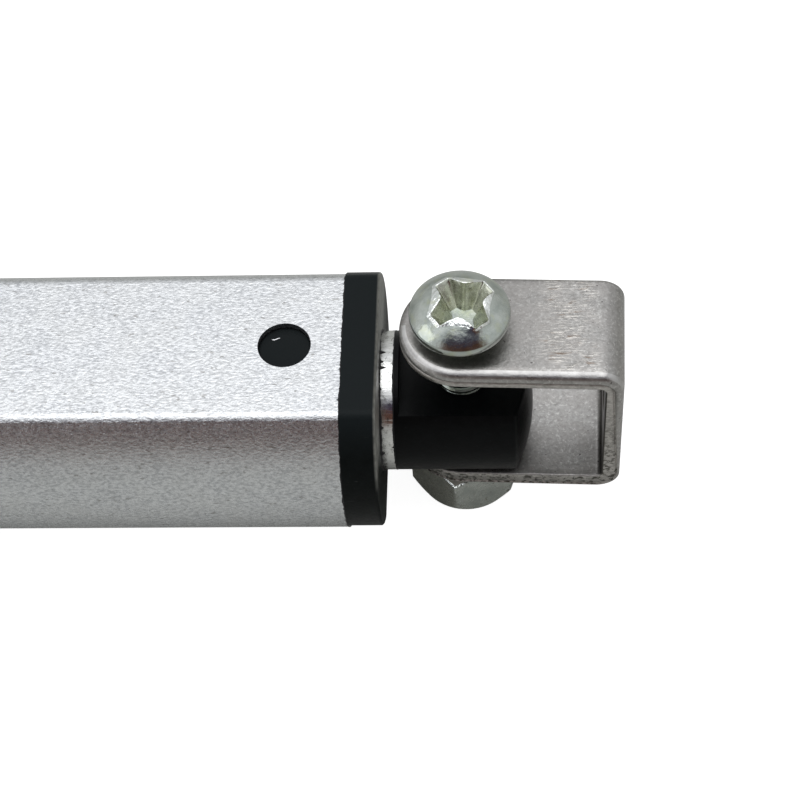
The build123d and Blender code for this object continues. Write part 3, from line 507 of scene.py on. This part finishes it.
def dress_cad_nodes():
    """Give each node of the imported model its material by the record's slot."""
    for subpart in record["subparts"]:
        node = frame["nodes"][subpart["node"]]
        node.data.materials.clear()
        node.data.materials.append(materials[subpart["material_slot"]])


# Meshes
def new_piece(name, points, faces, body, slot, face_materials=None, extra=()):
    """Make a smooth piece of points in metres that rides on a body."""
    mesh = bpy.data.meshes.new(name)
    mesh.from_pydata([tuple(p) for p in points], [], faces)
    for material in (materials[slot], *extra):
        mesh.materials.append(material)
    if face_materials:
        for polygon, index in zip(mesh.polygons, face_materials):
            polygon.material_index = index
    clean = bmesh.new()
    clean.from_mesh(mesh)
    bmesh.ops.remove_doubles(clean, verts=clean.verts, dist=0.002 * mm)
    bmesh.ops.recalc_face_normals(clean, faces=clean.faces)
    clean.to_mesh(mesh)
    clean.free()
    for polygon in mesh.polygons:
        polygon.use_smooth = True
    piece = bpy.data.objects.new(name, mesh)
    bpy.context.scene.collection.objects.link(piece)
    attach(piece, body)
    return piece


def sharpen(piece, angle):
    """Mark edges that turn more than angle as sharp."""
    edit = bmesh.new()
    edit.from_mesh(piece.data)
    for edge in edit.edges:
        if len(edge.link_faces) == 2 and edge.calc_face_angle() > angle:
            edge.smooth = False
    edit.to_mesh(piece.data)
    edit.free()


def ring_faces(first, second, count):
    """Quads between two closed rings of vertex numbers that start at first and second."""
    return [
        (first + i, first + (i + 1) % count, second + (i + 1) % count, second + i)
        for i in range(count)
    ]


# Bracket
# Lengths are in millimetres; it stands a little turned on its screw, as in the photo.
sheet = 1.4
bracket_width = 9.3
half_width = bracket_width / 2
bracket_shift = 0.15
bracket_turn = radians(-2.0)
bracket_reach = 12.35
bracket_bottom = -5.18
bracket_top = 9.72
bend_outside = 1.9
arm_hole = 2.15
web_hole = 2.1
hole_corner = 0.15
inner_corner = 0.12
# The outer face's rolled corner: reach and drop where it is least, and what is added at most.
sharp_corner = 0.12
rolled_reach = 0.80
rolled_drop = 0.56
# The torn edge under it: inset and depth below the corner at each step.
torn_inset = 0.035
torn_steps = [
    (0.0, 0.04), (torn_inset + 0.13, 0.08), (torn_inset + 0.12, 0.17), (torn_inset, 0.21),
]
# Steps of the mesh: round an outer and an inner corner, across, round a hole's quarter, out to the
# rim, and round a bend.
corner_steps = 6
inner_steps = 3
across_steps = 12
quarter_steps = 20
radial_steps = 7
bend_steps = 14
# The sheet's materials: the face, the torn edge, the groove's painted shade and the rolled corner's
# painted highlight.
face_steel, torn_steel, groove_shade, corner_highlight = range(4)


def bracket_layout():
    """The flat strip's lengths: from the arm's hole to the bend, round the bend, down the web."""
    arm = bracket_reach - bend_outside
    bend = (bend_outside - sheet / 2) * pi / 2
    web = bracket_top - bracket_bottom - 2 * bend_outside
    return arm, bend, web


def folded(along, across, height):
    """Point of the bracket, in millimetres: along the strip from the web's middle, across, and
    height above the strip's inner face."""
    arm, bend, web = bracket_layout()
    middle = (bracket_bottom + bracket_top) / 2
    side = 1 if along >= 0 else -1
    distance = abs(along)
    inner = bend_outside - sheet
    corner_x = bracket_reach - bend_outside
    corner_z = web / 2
    if distance <= web / 2:
        x, z = bracket_reach - sheet + height, distance
    elif distance <= web / 2 + bend:
        angle = (distance - web / 2) / bend * pi / 2
        x = corner_x + (inner + height) * cos(angle)
        z = corner_z + (inner + height) * sin(angle)
    else:
        x = corner_x - (distance - web / 2 - bend)
        z = corner_z + inner + height
    y = across + bracket_shift
    turned_x = x * cos(bracket_turn) - y * sin(bracket_turn)
    turned_y = x * sin(bracket_turn) + y * cos(bracket_turn)
    return Vector((pivot_x / mm + turned_x, turned_y, middle + side * z)) * mm


def rolled_corner(along, across):
    """Reach and drop of the outer face's rolled corner: broad above and on the near side, almost
    sharp below."""
    web = bracket_layout()[2]
    above = min(max((along + web / 2) / web, 0.0), 1.0)
    share = above * (0.7 - 0.3 * across / half_width)
    return sharp_corner + rolled_reach * share, sharp_corner + rolled_drop * share


def panel_rings(centre, hole, half_along, end_sign, turns):
    """Flat outlines of a panel round its hole: (along, across, outward) lists, hole then rim.
    A round end faces end_sign; 0 means straight at both ends."""
    tiny = 1e-9
    hole_ring, rim = [], []
    for turn in turns:
        c, s = cos(turn), sin(turn)
        hole_ring.append((centre + hole * c, hole * s, Vector((-c, -s))))
        if end_sign and c * end_sign > 0:
            rim.append((centre + half_width * c, half_width * s, Vector((c, s))))
            continue
        to_side = half_width / max(abs(s), tiny)
        to_end = half_along / max(abs(c), tiny)
        reach = min(to_side, to_end)
        outward = Vector((0, 1 if s > 0 else -1)) if to_side <= to_end else None
        rim.append((centre + reach * c, reach * s, outward))
    return hole_ring, rim


def edge_profile(reach, drop):
    """Inset from the edge and height in the sheet, from the outer face down to the inner one."""
    steps = []
    for i in range(corner_steps + 1):
        angle = i / corner_steps * pi / 2
        steps.append((reach * (1 - sin(angle)), sheet - drop * (1 - cos(angle))))
    steps += [(inset, sheet - drop - depth) for inset, depth in torn_steps]
    steps.append((torn_inset * 0.6, inner_corner * 2.2))
    for i in range(inner_steps + 1):
        angle = i / inner_steps * pi / 2
        steps.append((inner_corner * (1 - cos(angle)), inner_corner * (1 - sin(angle))))
    return steps


def spread(half_along):
    """Places across a straight end, on the rays that the panel's outline takes from its hole."""
    corner = atan2(half_width, half_along)
    turns = [-corner + 2 * corner * i / across_steps for i in range(across_steps + 1)]
    return [half_along * sin(turn) / cos(turn) for turn in turns]


def build_bracket():
    """The U bracket as one folded sheet with rolled outer corners and a torn edge."""
    points, faces, indices = [], [], []
    arm, bend, web = bracket_layout()

    def add(along, across, height):
        points.append(folded(along, across, height))
        return len(points) - 1

    def add_quad(quad, index=face_steel):
        faces.append(quad)
        indices.append(index)

    def face_inset(along, across, height):
        """How far the flat of the outer or inner face stops short of the sheet's edge."""
        return rolled_corner(along, across)[0] if height else inner_corner

    def side_of(across):
        return half_width if across > 0 else -half_width

    def band_material(level, levels, along, across, is_rim):
        """Material of one band of the edge: on the upper arm alone, a painted shade in the groove
        under the corner, and on the near rim a painted highlight on the rolled corner.
        """
        upper = along > web / 2
        # Painted highlight on the rolled corner of the near rim.
        if upper and is_rim and across < 0 and level in (1, 2):
            return corner_highlight
        # Painted shade in the groove under the corner.
        if upper and level in (corner_steps, corner_steps + 1):
            return groove_shade
        torn = corner_steps < level < levels - inner_steps - 1
        return torn_steel if torn else face_steel

    def wrap(loop, closed=False, corner=None):
        """Wrap the edge profile along a run of the outline, with one corner all along or, by
        default, the rolled corner of each place."""
        columns = []
        for a, c, n in loop:
            profile = edge_profile(*(corner or rolled_corner(a, c)))
            columns.append([add(a - n.x * i, c - n.y * i, height) for i, height in profile])
        rows = list(zip(*columns))
        count = len(loop)
        for level, (upper, lower) in enumerate(zip(rows, rows[1:])):
            for i in range(count if closed else count - 1):
                k = (i + 1) % count
                index = band_material(level, len(rows), *loop[i][:2], not corner)
                add_quad((upper[i], upper[k], lower[k], lower[i]), index)

    def rim_runs(rim):
        """The open runs of a panel's rim, without the ends that meet a bend."""
        count = len(rim)
        runs, run = [], []
        # Twice round, so that a run over the start is found whole.
        for i in range(2 * count):
            a, c, n = rim[i % count]
            at_corner = n is None and abs(abs(c) - half_width) < 1e-6
            if n is not None or at_corner:
                run.append((i, (a, c, n or Vector((0, 1 if c > 0 else -1)))))
            elif run:
                runs.append(run)
                run = []
        seen = set()
        for run in runs:
            first = run[0][0]
            if first == 0 or first % count in seen or run[-1][0] - first >= count:
                continue
            seen.add(first % count)
            yield [place for _, place in run]

    def add_panel(centre, hole, half_along, end_sign):
        corner = atan2(half_width, half_along)
        spans = [(-corner, corner, across_steps), (corner, pi - corner, 2 * quarter_steps)]
        spans += [(a + pi, b + pi, n) for a, b, n in spans]
        turns = [a + (b - a) * i / n for a, b, n in spans for i in range(n)]
        hole_ring, rim = panel_rings(centre, hole, half_along, end_sign, turns)
        count = len(turns)
        for height, hole_inset in ((sheet, hole_corner), (0.0, inner_corner)):
            rings = []
            for step in range(radial_steps + 1):
                ring = []
                for (ha, hc, hn), (ra, rc, rn) in zip(hole_ring, rim):
                    start = Vector((ha, hc)) - hn * hole_inset
                    if rn is None:
                        inset = face_inset(ra, side_of(rc), height)
                        end = Vector((ra, rc * (half_width - inset) / half_width))
                    else:
                        end = Vector((ra, rc)) - rn * face_inset(ra, rc, height)
                    ring.append(add(*start.lerp(end, step / radial_steps), height))
                rings.append(ring)
            for low, high in zip(rings, rings[1:]):
                for i in range(count):
                    k = (i + 1) % count
                    add_quad((low[i], low[k], high[k], high[i]))
        wrap(hole_ring, True, (hole_corner, hole_corner))
        for run in rim_runs(rim):
            wrap(run)

    def add_bend(start, stop):
        """The bend from the web to an arm, its grid matching theirs across the width."""
        places = [start + (stop - start) * step / bend_steps for step in range(bend_steps + 1)]
        for height in (sheet, 0.0):
            rows = []
            for step, along in enumerate(places):
                row = []
                for w, a in zip(spread(web / 2), spread(arm)):
                    across = w + (a - w) * step / bend_steps
                    flat = 1 - face_inset(along, side_of(w), height) / half_width
                    row.append(add(along, across * flat, height))
                rows.append(row)
            for low, high in zip(rows, rows[1:]):
                for i in range(across_steps):
                    add_quad((low[i], low[i + 1], high[i + 1], high[i]))
        for side in (-1, 1):
            wrap([(along, side * half_width, Vector((0, side))) for along in places])

    add_panel(0.0, web_hole, web / 2, 0)
    for side in (1, -1):
        add_panel(side * (web / 2 + bend + arm), arm_hole, arm, side)
        add_bend(side * web / 2, side * (web / 2 + bend))
    piece = new_piece(
        "bracket_sheet", points, faces, "bracket", "bracket_steel", indices,
        (edge_steel, groove_shade_steel, corner_highlight_steel),
    )
    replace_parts(piece, "u_bracket")


# Pivot screw
screw_radius = 2.0
screw_length = 19.71
thread_root = 1.62
thread_pitch = 0.7
thread_length = screw_length - 0.02
tip_radius = thread_root - 0.25
tip_length = 0.9
turn_steps = 72
# One turn of the thread: share of the pitch and radius, its crest 0.28 of the pitch wide.
thread_profile = [
    (0.0, thread_root), (0.36, screw_radius), (0.64, screw_radius), (0.92, thread_root),
]
head_foot = 10.93
head_radius = 3.8
dome_curve = 5.1
rim_height = 0.86
# The head's side from the shank out and up, as radius and height, and the dome's rings inward.
head_side = [
    (thread_root, 0.0), (screw_radius + 0.25, 0.0), (3.35, 0.0), (3.48, 0.02), (3.60, 0.10),
    (3.66, 0.20), (3.70, 0.27), (3.77, 0.33), (3.80, 0.40), (3.80, 0.62), (3.795, 0.78),
]
dome_radii = (3.77, 3.70, 3.6, 3.45, 3.25, 3.05)
# The cross recess: distance from the axis at each angle from a wing's middle, up to 45 degrees.
recess_outline = [
    (0, 2.48), (5, 2.50), (10, 2.54), (13, 2.57), (15, 2.50), (18, 2.29), (22, 2.07),
    (27, 1.88), (32, 1.75), (37, 1.66), (41, 1.61), (45, 1.60),
]
recess_turn = radians(-7.4)
recess_aside = Vector((0.2, -0.2 / 3, 0))
recess_depth = 2.35
# The raised lip round the recess: share of the way out to lip_radius, height and material.
plated, recessed, bright = range(3)
lip_radius = 2.95
lip_steps = [(0.7, 0.0, plated), (0.45, 0.01, plated), (0.3, 0.03, bright), (0.12, 0.05, bright)]
# Its top and where it turns down: distance out from the outline, and height.
lip_top = [(0.02, 0.05), (-0.02, 0.02)]
# The recess's wall starts wall_start below the dome's height at recess_rim and wall_inset inside
# the outline. Its floor is recess_floor wide with floor_wings of what the wings had past the waist.
wall_steps = 9
wall_start = 0.1
wall_inset = 0.03
recess_rim = 2.2
recess_waist = 1.5
recess_floor = 0.62
floor_wings = 0.28
# The floor's dish: share of the floor's radius and depth of its ring, and depth of its middle.
dish_share = 0.55
dish_depth = 0.12
dish_middle = 0.2


def dome(radius):
    """Height of the head's dome above its foot."""
    fall = sqrt(dome_curve**2 - head_radius**2)
    return rim_height - fall + sqrt(dome_curve**2 - min(radius, head_radius) ** 2)


def recess_angles():
    """Angles and radii of the recess's whole outline, four wings mirrored from one half."""
    half = recess_outline
    wing = [(-a, r) for a, r in reversed(half[1:-1])] + half
    return [
        (radians(45 + 90 * quarter + a) + recess_turn, r)
        for quarter in range(4)
        for a, r in wing
    ]


def build_pivot_screw():
    """Pan head screw with a cross recess and a rolled thread."""
    outline = recess_angles()
    edges = [edge for _, edge in outline]
    count = len(outline)
    points, faces, indices = [], [], []
    axis = Vector((pivot_x / mm, 0, head_foot))

    def add_ring(radii, heights, index=plated, aside=0.0):
        """A ring round the head, moved by the share aside of the recess's own place."""
        first = len(points)
        for (angle, _), radius, height in zip(outline, radii, heights):
            spot = Vector((radius * cos(angle), radius * sin(angle), height))
            points.append((axis + spot + recess_aside * aside) * mm)
        if first:
            faces.extend(ring_faces(first - count, first, count))
            indices.extend([index] * count)

    def add_lip(radii, lift, index, aside):
        add_ring(radii, [dome(radius) + lift for radius in radii], index, aside)

    for radius, height in head_side + [(radius, dome(radius)) for radius in dome_radii]:
        add_ring([radius] * count, [height] * count)
    for share, lift, index in lip_steps:
        add_lip([edge + (lip_radius - edge) * share for edge in edges], lift, index, 1 - share)
    for out, lift in lip_top:
        add_lip([edge + out for edge in edges], lift, bright, 1)
    top = dome(recess_rim)
    for step in range(1, wall_steps + 1):
        share = step / wall_steps
        radii = []
        for edge in edges:
            low = recess_floor + (edge - recess_waist) * floor_wings
            radii.append((edge - wall_inset) * (1 - share) + low * share)
        height = top - wall_start - (recess_depth - wall_start) * share
        add_ring(radii, [height] * count, recessed, 1)
    bottom = top - recess_depth
    add_ring([recess_floor * dish_share] * count, [bottom - dish_depth] * count, recessed, 1)
    centre = len(points)
    points.append((axis + Vector((0, 0, bottom - dish_middle))) * mm)
    last = centre - count
    faces.extend((last + i, last + (i + 1) % count, centre) for i in range(count))
    indices.extend([recessed] * count)
    head = new_piece(
        "pivot_screw_head", points, faces, "bracket", "zinc_steel", indices,
        (recess_shade_zinc, lip_highlight_zinc),
    )
    sharpen(head, radians(50))
    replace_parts(head, "pivot_screw")
    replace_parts(build_thread(), "pivot_screw")


def build_thread():
    """The screw's rolled thread, cut off flat at both ends and tapered at its tip."""
    start = Vector((pivot_x, 0, (head_foot - screw_length) * mm))
    axis = Vector((0, 0, 1))
    side = axis.orthogonal().normalized()
    other = axis.cross(side)
    points, faces = [], []

    def add(step, height, radius):
        angle = 2 * pi * step / turn_steps
        out = side * cos(angle) + other * sin(angle)
        points.append(start + (axis * height + out * radius) * mm)

    steps = (int(thread_length / thread_pitch) + 2) * turn_steps
    for i in range(steps + 1):
        for share, radius in thread_profile:
            height = (i / turn_steps - 1 + share) * thread_pitch
            height = min(max(height, 0.0), thread_length)
            tapered = tip_radius + (screw_radius - tip_radius) * height / tip_length
            add(i, height, min(radius, tapered))
    width = len(thread_profile)
    for i in range(steps):
        for a in range(i * width, (i + 1) * width - 1):
            faces.append((a, a + 1, a + 1 + width, a + width))
        if i + turn_steps < steps:
            a, b = (i + 1) * width - 1, (i + turn_steps) * width
            faces.append((a, b, b + width, a + width))
    for height, radius in ((0.0, tip_radius), (thread_length, thread_root)):
        first = len(points)
        for i in range(turn_steps):
            add(i, height, radius)
        faces.append(tuple(range(first, first + turn_steps)))
    thread = new_piece("pivot_screw_thread", points, faces, "bracket", "zinc_steel")
    sharpen(thread, radians(35))
    return thread


# Nut
# Its flats are nut_flat from the axis, and its corners are worn to nut_corner.
nut_top = -5.18
nut_bottom = -10.38
nut_flat = 4.08
nut_corner = 4.69
nut_turn = radians(-100)
# Angles round one face, from its corner to just before the next.
nut_angles = [-30, -29, -27.5, -24, -18, -12, -6, 0, 6, 12, 18, 24, 27.5, 29]
bore_radius = 2.03
mouth_radius = 2.35
mouth_depth = 0.3
# The cones that turn the corners back: from which radius, and how steep.
upper_cone_radius = 3.80
upper_cone_slope = 0.85
lower_cone_radius = 4.03
lower_cone_slope = 1.9
# The burr where the upper cone meets the faces, and how far down the corners glint, as a share.
burr_inset = 0.16
burr_rise = 0.05
burr_drop = 0.02
glint_share = 0.3
# The step round the foot: its radius and height, and the narrow edge where the faces meet it.
foot_radius = 3.88
foot_height = 0.17
foot_edge_height = 0.25
foot_edge_inset = 0.03
# The nut's materials: its plate; the lip's painted highlight, on the edge of the upper cone and
# down the corners; and the turned burr.
nut_plate, nut_glint, nut_burr = range(3)


def build_nut():
    """Hexagon nut whose corners are turned back by a cone at both ends."""
    angles = [radians(60 * face + 30 + a) + nut_turn for face in range(6) for a in nut_angles]
    reaches = [min(nut_flat / cos(radians(a)), nut_corner) for a in nut_angles] * 6
    count = len(angles)
    points, faces, indices = [], [], []

    def add_ring(radii, heights, index=nut_plate, corner_index=None):
        """A ring of given radii and heights, each a list or one number for all."""
        first = len(points)
        radii = radii if isinstance(radii, list) else [radii] * count
        heights = heights if isinstance(heights, list) else [heights] * count
        for angle, radius, height in zip(angles, radii, heights):
            place = Vector((cos(angle), sin(angle), 0)) * radius
            points.append((place + Vector((pivot_x / mm, 0, height))) * mm)
        if first:
            faces.extend(ring_faces(first - count, first, count))
            face = [index] * len(nut_angles)
            if corner_index is not None:
                face[0] = face[-1] = corner_index
            indices.extend(face * 6)

    tall = nut_bottom - nut_top
    upper = [nut_top - upper_cone_slope * (reach - upper_cone_radius) for reach in reaches]
    lower = [nut_bottom + lower_cone_slope * (reach - lower_cone_radius) for reach in reaches]
    add_ring(bore_radius, nut_top - mouth_depth)
    add_ring(mouth_radius, nut_top)
    add_ring(upper_cone_radius, nut_top)
    add_ring([reach - burr_inset for reach in reaches], [z + burr_rise for z in upper], nut_burr)
    add_ring(reaches, [z - burr_drop for z in upper], nut_glint)
    add_ring(reaches, nut_top + glint_share * tall, corner_index=nut_glint)
    add_ring(reaches, nut_top + 0.5 * tall)
    add_ring(reaches, [z + foot_edge_height for z in lower])
    add_ring([reach - foot_edge_inset for reach in reaches], [z + foot_height for z in lower])
    add_ring(lower_cone_radius, nut_bottom + foot_height)
    add_ring(foot_radius, nut_bottom)
    add_ring(mouth_radius, nut_bottom)
    add_ring(bore_radius, nut_bottom + mouth_depth)
    faces.extend(ring_faces(len(points) - count, 0, count))
    indices.extend([nut_plate] * count)
    nut = new_piece(
        "pivot_nut_hexagon", points, faces, "bracket", "nut_steel", indices,
        (lip_highlight_zinc, turned_steel),
    )
    sharpen(nut, radians(18))
    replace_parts(nut, "pivot_nut")


# Flash and plug
body_radius = 10.0
body_flat = 7.65
# The torn skin's profile: share of its reach and of its rise.
skin_profile = [(-0.25, 0.0), (-0.2, 1.0), (0.4, 1.0), (0.8, 0.7), (1.0, 0.0)]
# How the ragged length wanders: pull back to the mean, step, least length and rarity of spikes.
ragged_pull, ragged_step, ragged_least, spike_rarity = 0.12, 0.22, 0.02, 40
bore_flash_radius = 5.53
collar_flash_radius = 5.49


def round_outline(radius, steps):
    """Points and outward directions round the rod's axis, in millimetres."""
    turns = [2 * pi * i / steps for i in range(steps)]
    return [
        (Vector((0, radius * cos(a), radius * sin(a))), Vector((0, cos(a), sin(a)))) for a in turns
    ]


def body_outline(steps):
    """Points and outward directions round the tube's section, in millimetres."""
    loop = []
    for out, normal in round_outline(body_radius, steps):
        if abs(out.z) > body_flat:
            normal = Vector((0, 0, 1 if out.z > 0 else -1))
            out.z = body_flat * normal.z
        loop.append((out, normal))
    return loop


def build_ragged_strip(name, loop, x, way, reach, rise, wild, body):
    """A thin ragged skin of torn plastic that laps from x, way -1 or 1. Its mean length is reach,
    its height rise, and its longest spikes are wild longer."""
    chance = random.Random(name)
    points, faces = [], []
    count = len(loop)
    lengths, length = [], reach
    for _ in range(count):
        length += (reach - length) * ragged_pull + chance.uniform(-reach, reach) * ragged_step
        length = max(ragged_least, length)
        lengths.append(length + chance.random() ** spike_rarity * wild)
    for share, lift in skin_profile:
        for (place, normal), long in zip(loop, lengths):
            lap = x + way * (long if share > 0 else reach) * share
            points.append((Vector((lap, 0, 0)) + place + normal * rise * lift) * mm)
        first = len(points) - count
        if first:
            faces.extend(ring_faces(first - count, first, count))
    piece = new_piece(name, points, faces, body, "switch_black")
    sharpen(piece, radians(40))


def build_flash():
    """Torn plastic where the cap meets the tube, and at the rod's hole in the cap."""
    tube = body_outline(1200)
    bore = round_outline(bore_flash_radius, 260)
    collar = round_outline(collar_flash_radius, 300)
    for name, loop, x, way, reach, rise, wild, body in (
        ("cap_flash", tube, tube_front / mm, -1, 0.09, 0.025, 0.2, "housing"),
        ("bore_flash", bore, cap_front / mm - 0.05, 1, 0.16, 0.06, 0.5, "housing"),
        ("collar_flash", collar, rod_front / mm + 0.05, -1, 0.10, 0.03, 0.22, "rod"),
    ):
        build_ragged_strip(name, loop, x, way, reach, rise, wild, body)


plug_centre = Vector((141.5, 0, body_flat))
plug_radius = 2.05
plug_chips = 0.012
plug_steps = 64
# The plug's rings: share of the radius and height, and the height of its middle.
plug_rings = [
    (0.985, -1.3), (0.985, -0.62), (0.955, -0.56), (0.90, -0.55), (0.7, -0.58), (0.4, -0.60),
]
plug_middle = -0.61
# A sliver of metal on the plug: places along its middle with half its width there, and its
# profile, as side and height.
sliver = [(-1.04, 0.92, 0.05), (-0.84, 0.90, 0.07), (-0.64, 1.00, 0.05), (-0.42, 1.08, 0.04)]
sliver_profile = [(-1, -0.58), (0, -0.51), (1, -0.58)]


def build_lock_plug():
    """The black plug in the tube's lock hole, slightly dished, with a chipped rim."""
    chance = random.Random("plug")
    rim = [plug_radius + plug_chips * chance.uniform(-1, 1) for _ in range(plug_steps)]
    points, faces = [], []
    for share, height in plug_rings:
        first = len(points)
        for i, reach in enumerate(rim):
            angle = 2 * pi * i / plug_steps
            spot = Vector((cos(angle), sin(angle), 0)) * reach * share
            points.append((plug_centre + spot + Vector((0, 0, height))) * mm)
        if first:
            faces.extend(ring_faces(first - plug_steps, first, plug_steps))
    points.append((plug_centre + Vector((0, 0, plug_middle))) * mm)
    middle = len(points) - 1
    last = middle - plug_steps
    faces.extend((last + i, last + (i + 1) % plug_steps, middle) for i in range(plug_steps))
    new_piece("lock_plug", points, faces, "housing", "black_cap")
    points, faces = [], []
    for x, y, half in sliver:
        for side, height in sliver_profile:
            points.append((plug_centre + Vector((x, y + side * half, height))) * mm)
    for i in range(len(sliver) - 1):
        for a in (3 * i, 3 * i + 1):
            faces.append((a, a + 1, a + 4, a + 3))
    new_piece("lock_sliver", points, faces, "housing", "anodised_tube")


# Surroundings
floor_height = (nut_bottom - 0.02) * mm
floor_size = 6.0
# The floor's colours for light that falls on it, and what the camera sees instead.
floor_tones = ((0.57, 0.58, 0.56), (0.62, 0.63, 0.61))
seen_floor = (0.5, 0.5, 0.5, 1)
seen_glow = 0.90
# The dark room that polished metal mirrors, in degrees. Each pair goes from none of it to all of
# it, to each side of the camera, above, and below, where room_least of it stays.
room_width = (54, 38)
room_above = (61.5, 53.5)
room_below = (7, 21)
room_least = 0.15
# Where the lower tone of the room and of the walls gives way to the upper one.
room_change = (36, 43)
room_tones = ((0.092, 0.042, 0.029), (0.036, 0.034, 0.064))
wall_change = (8, 60)
wall_tones = ((0.50, 0.51, 0.50), (0.88, 0.90, 0.92))
ambient = (0.55, 0.55, 0.55)
# Softboxes: place from the tube's front, width and depth, and radiance.
softboxes = {
    "overhead": ((0.0, 0.05, 0.42), (0.50, 0.34), 1.0),
    "left": ((-0.40, -0.10, 0.22), (0.22, 0.22), 0.9),
}


def add_floor():
    """A pale floor that photographs white and keeps a faint shadow."""
    mesh = bpy.data.meshes.new("floor")
    corners = [(-1, -1), (1, -1), (1, 1), (-1, 1)]
    places = [(x * floor_size, y * floor_size, floor_height) for x, y in corners]
    mesh.from_pydata(places, [], [(0, 1, 2, 3)])
    material = bpy.data.materials.new("floor")
    material.use_nodes = True
    tree = material.node_tree
    tree.nodes.clear()
    grain = noise(tree, 0.05, 2.0, 0.5)
    tone = mix_colour(tree, remap(tree, grain, 0.3, 0.7), *floor_tones)
    paper = add_node(tree, "ShaderNodeBsdfDiffuse", {"Color": tone})
    white = add_node(tree, "ShaderNodeBsdfDiffuse", {"Color": seen_floor})
    glow = add_node(tree, "ShaderNodeEmission", {"Color": (1, 1, 1, 1), "Strength": seen_glow})
    seen = add_node(tree, "ShaderNodeAddShader", {0: white.outputs[0], 1: glow.outputs[0]})
    path = add_node(tree, "ShaderNodeLightPath")
    mixed = add_node(
        tree,
        "ShaderNodeMixShader",
        {"Fac": path.outputs["Is Camera Ray"], 1: paper.outputs[0], 2: seen.outputs[0]},
    )
    output = add_node(tree, "ShaderNodeOutputMaterial")
    tree.links.new(mixed.outputs[0], output.inputs["Surface"])
    mesh.materials.append(material)
    floor = bpy.data.objects.new("floor", mesh)
    bpy.context.scene.collection.objects.link(floor)


def add_world(back):
    """A white studio with a darker room behind the camera, which polished metal mirrors."""
    world = bpy.data.worlds.new("studio")
    bpy.context.scene.world = world
    world.use_nodes = True
    tree = world.node_tree
    tree.nodes.clear()
    direction = add_node(tree, "ShaderNodeTexCoord").outputs["Generated"]
    height = add_node(tree, "ShaderNodeSeparateXYZ", {"Vector": direction}).outputs[2]
    toward = Vector((back.x, back.y, 0)).normalized()
    facing = add_node(
        tree, "ShaderNodeVectorMath", {0: direction, 1: tuple(toward)}, operation="DOT_PRODUCT"
    ).outputs["Value"]
    level = maths(tree, "SQRT", maths(tree, "SUBTRACT", 1.0, maths(tree, "POWER", height, 2.0)))
    facing = maths(tree, "DIVIDE", facing, maths(tree, "MAXIMUM", level, 0.001))

    def by_height(degrees, to_low=0.0, to_high=1.0):
        low, high = (sin(radians(angle)) for angle in degrees)
        return remap(tree, height, low, high, to_low, to_high)

    width = remap(tree, facing, *(cos(radians(angle)) for angle in room_width))
    room = times(tree, by_height(room_above), by_height(room_below, room_least), width)
    dark = mix_colour(tree, by_height(room_change), *room_tones)
    walls = mix_colour(tree, by_height(wall_change), *wall_tones)
    mirrored = mix_colour(tree, room, walls, dark)
    path = add_node(tree, "ShaderNodeLightPath")
    colour = mix_colour(tree, path.outputs["Is Glossy Ray"], ambient, mirrored)
    colour = mix_colour(tree, path.outputs["Is Camera Ray"], colour, (1, 1, 1))
    background = add_node(tree, "ShaderNodeBackground", {"Color": colour, "Strength": 1.0})
    output = add_node(tree, "ShaderNodeOutputWorld")
    tree.links.new(background.outputs[0], output.inputs["Surface"])


def add_softbox(name, offset, size, radiance):
    """A lamp that faces the tube's front."""
    data = bpy.data.lights.new(name, "AREA")
    data.shape = "RECTANGLE"
    data.size, data.size_y = size
    data.energy = radiance * pi * size[0] * size[1]
    light = bpy.data.objects.new(name, data)
    light.location = (tube_front + offset[0], *offset[1:])
    light.rotation_mode = "QUATERNION"
    light.rotation_quaternion = (-Vector(offset)).to_track_quat("-Z", "Y")
    bpy.context.scene.collection.objects.link(light)


back = add_camera()
dress_cad_nodes()
build_bracket()
build_pivot_screw()
build_nut()
build_flash()
build_lock_plug()
add_floor()
add_world(back)
for name, (offset, size, radiance) in softboxes.items():
    add_softbox(name, offset, size, radiance)
bpy.context.scene.view_settings.view_transform = "Standard"
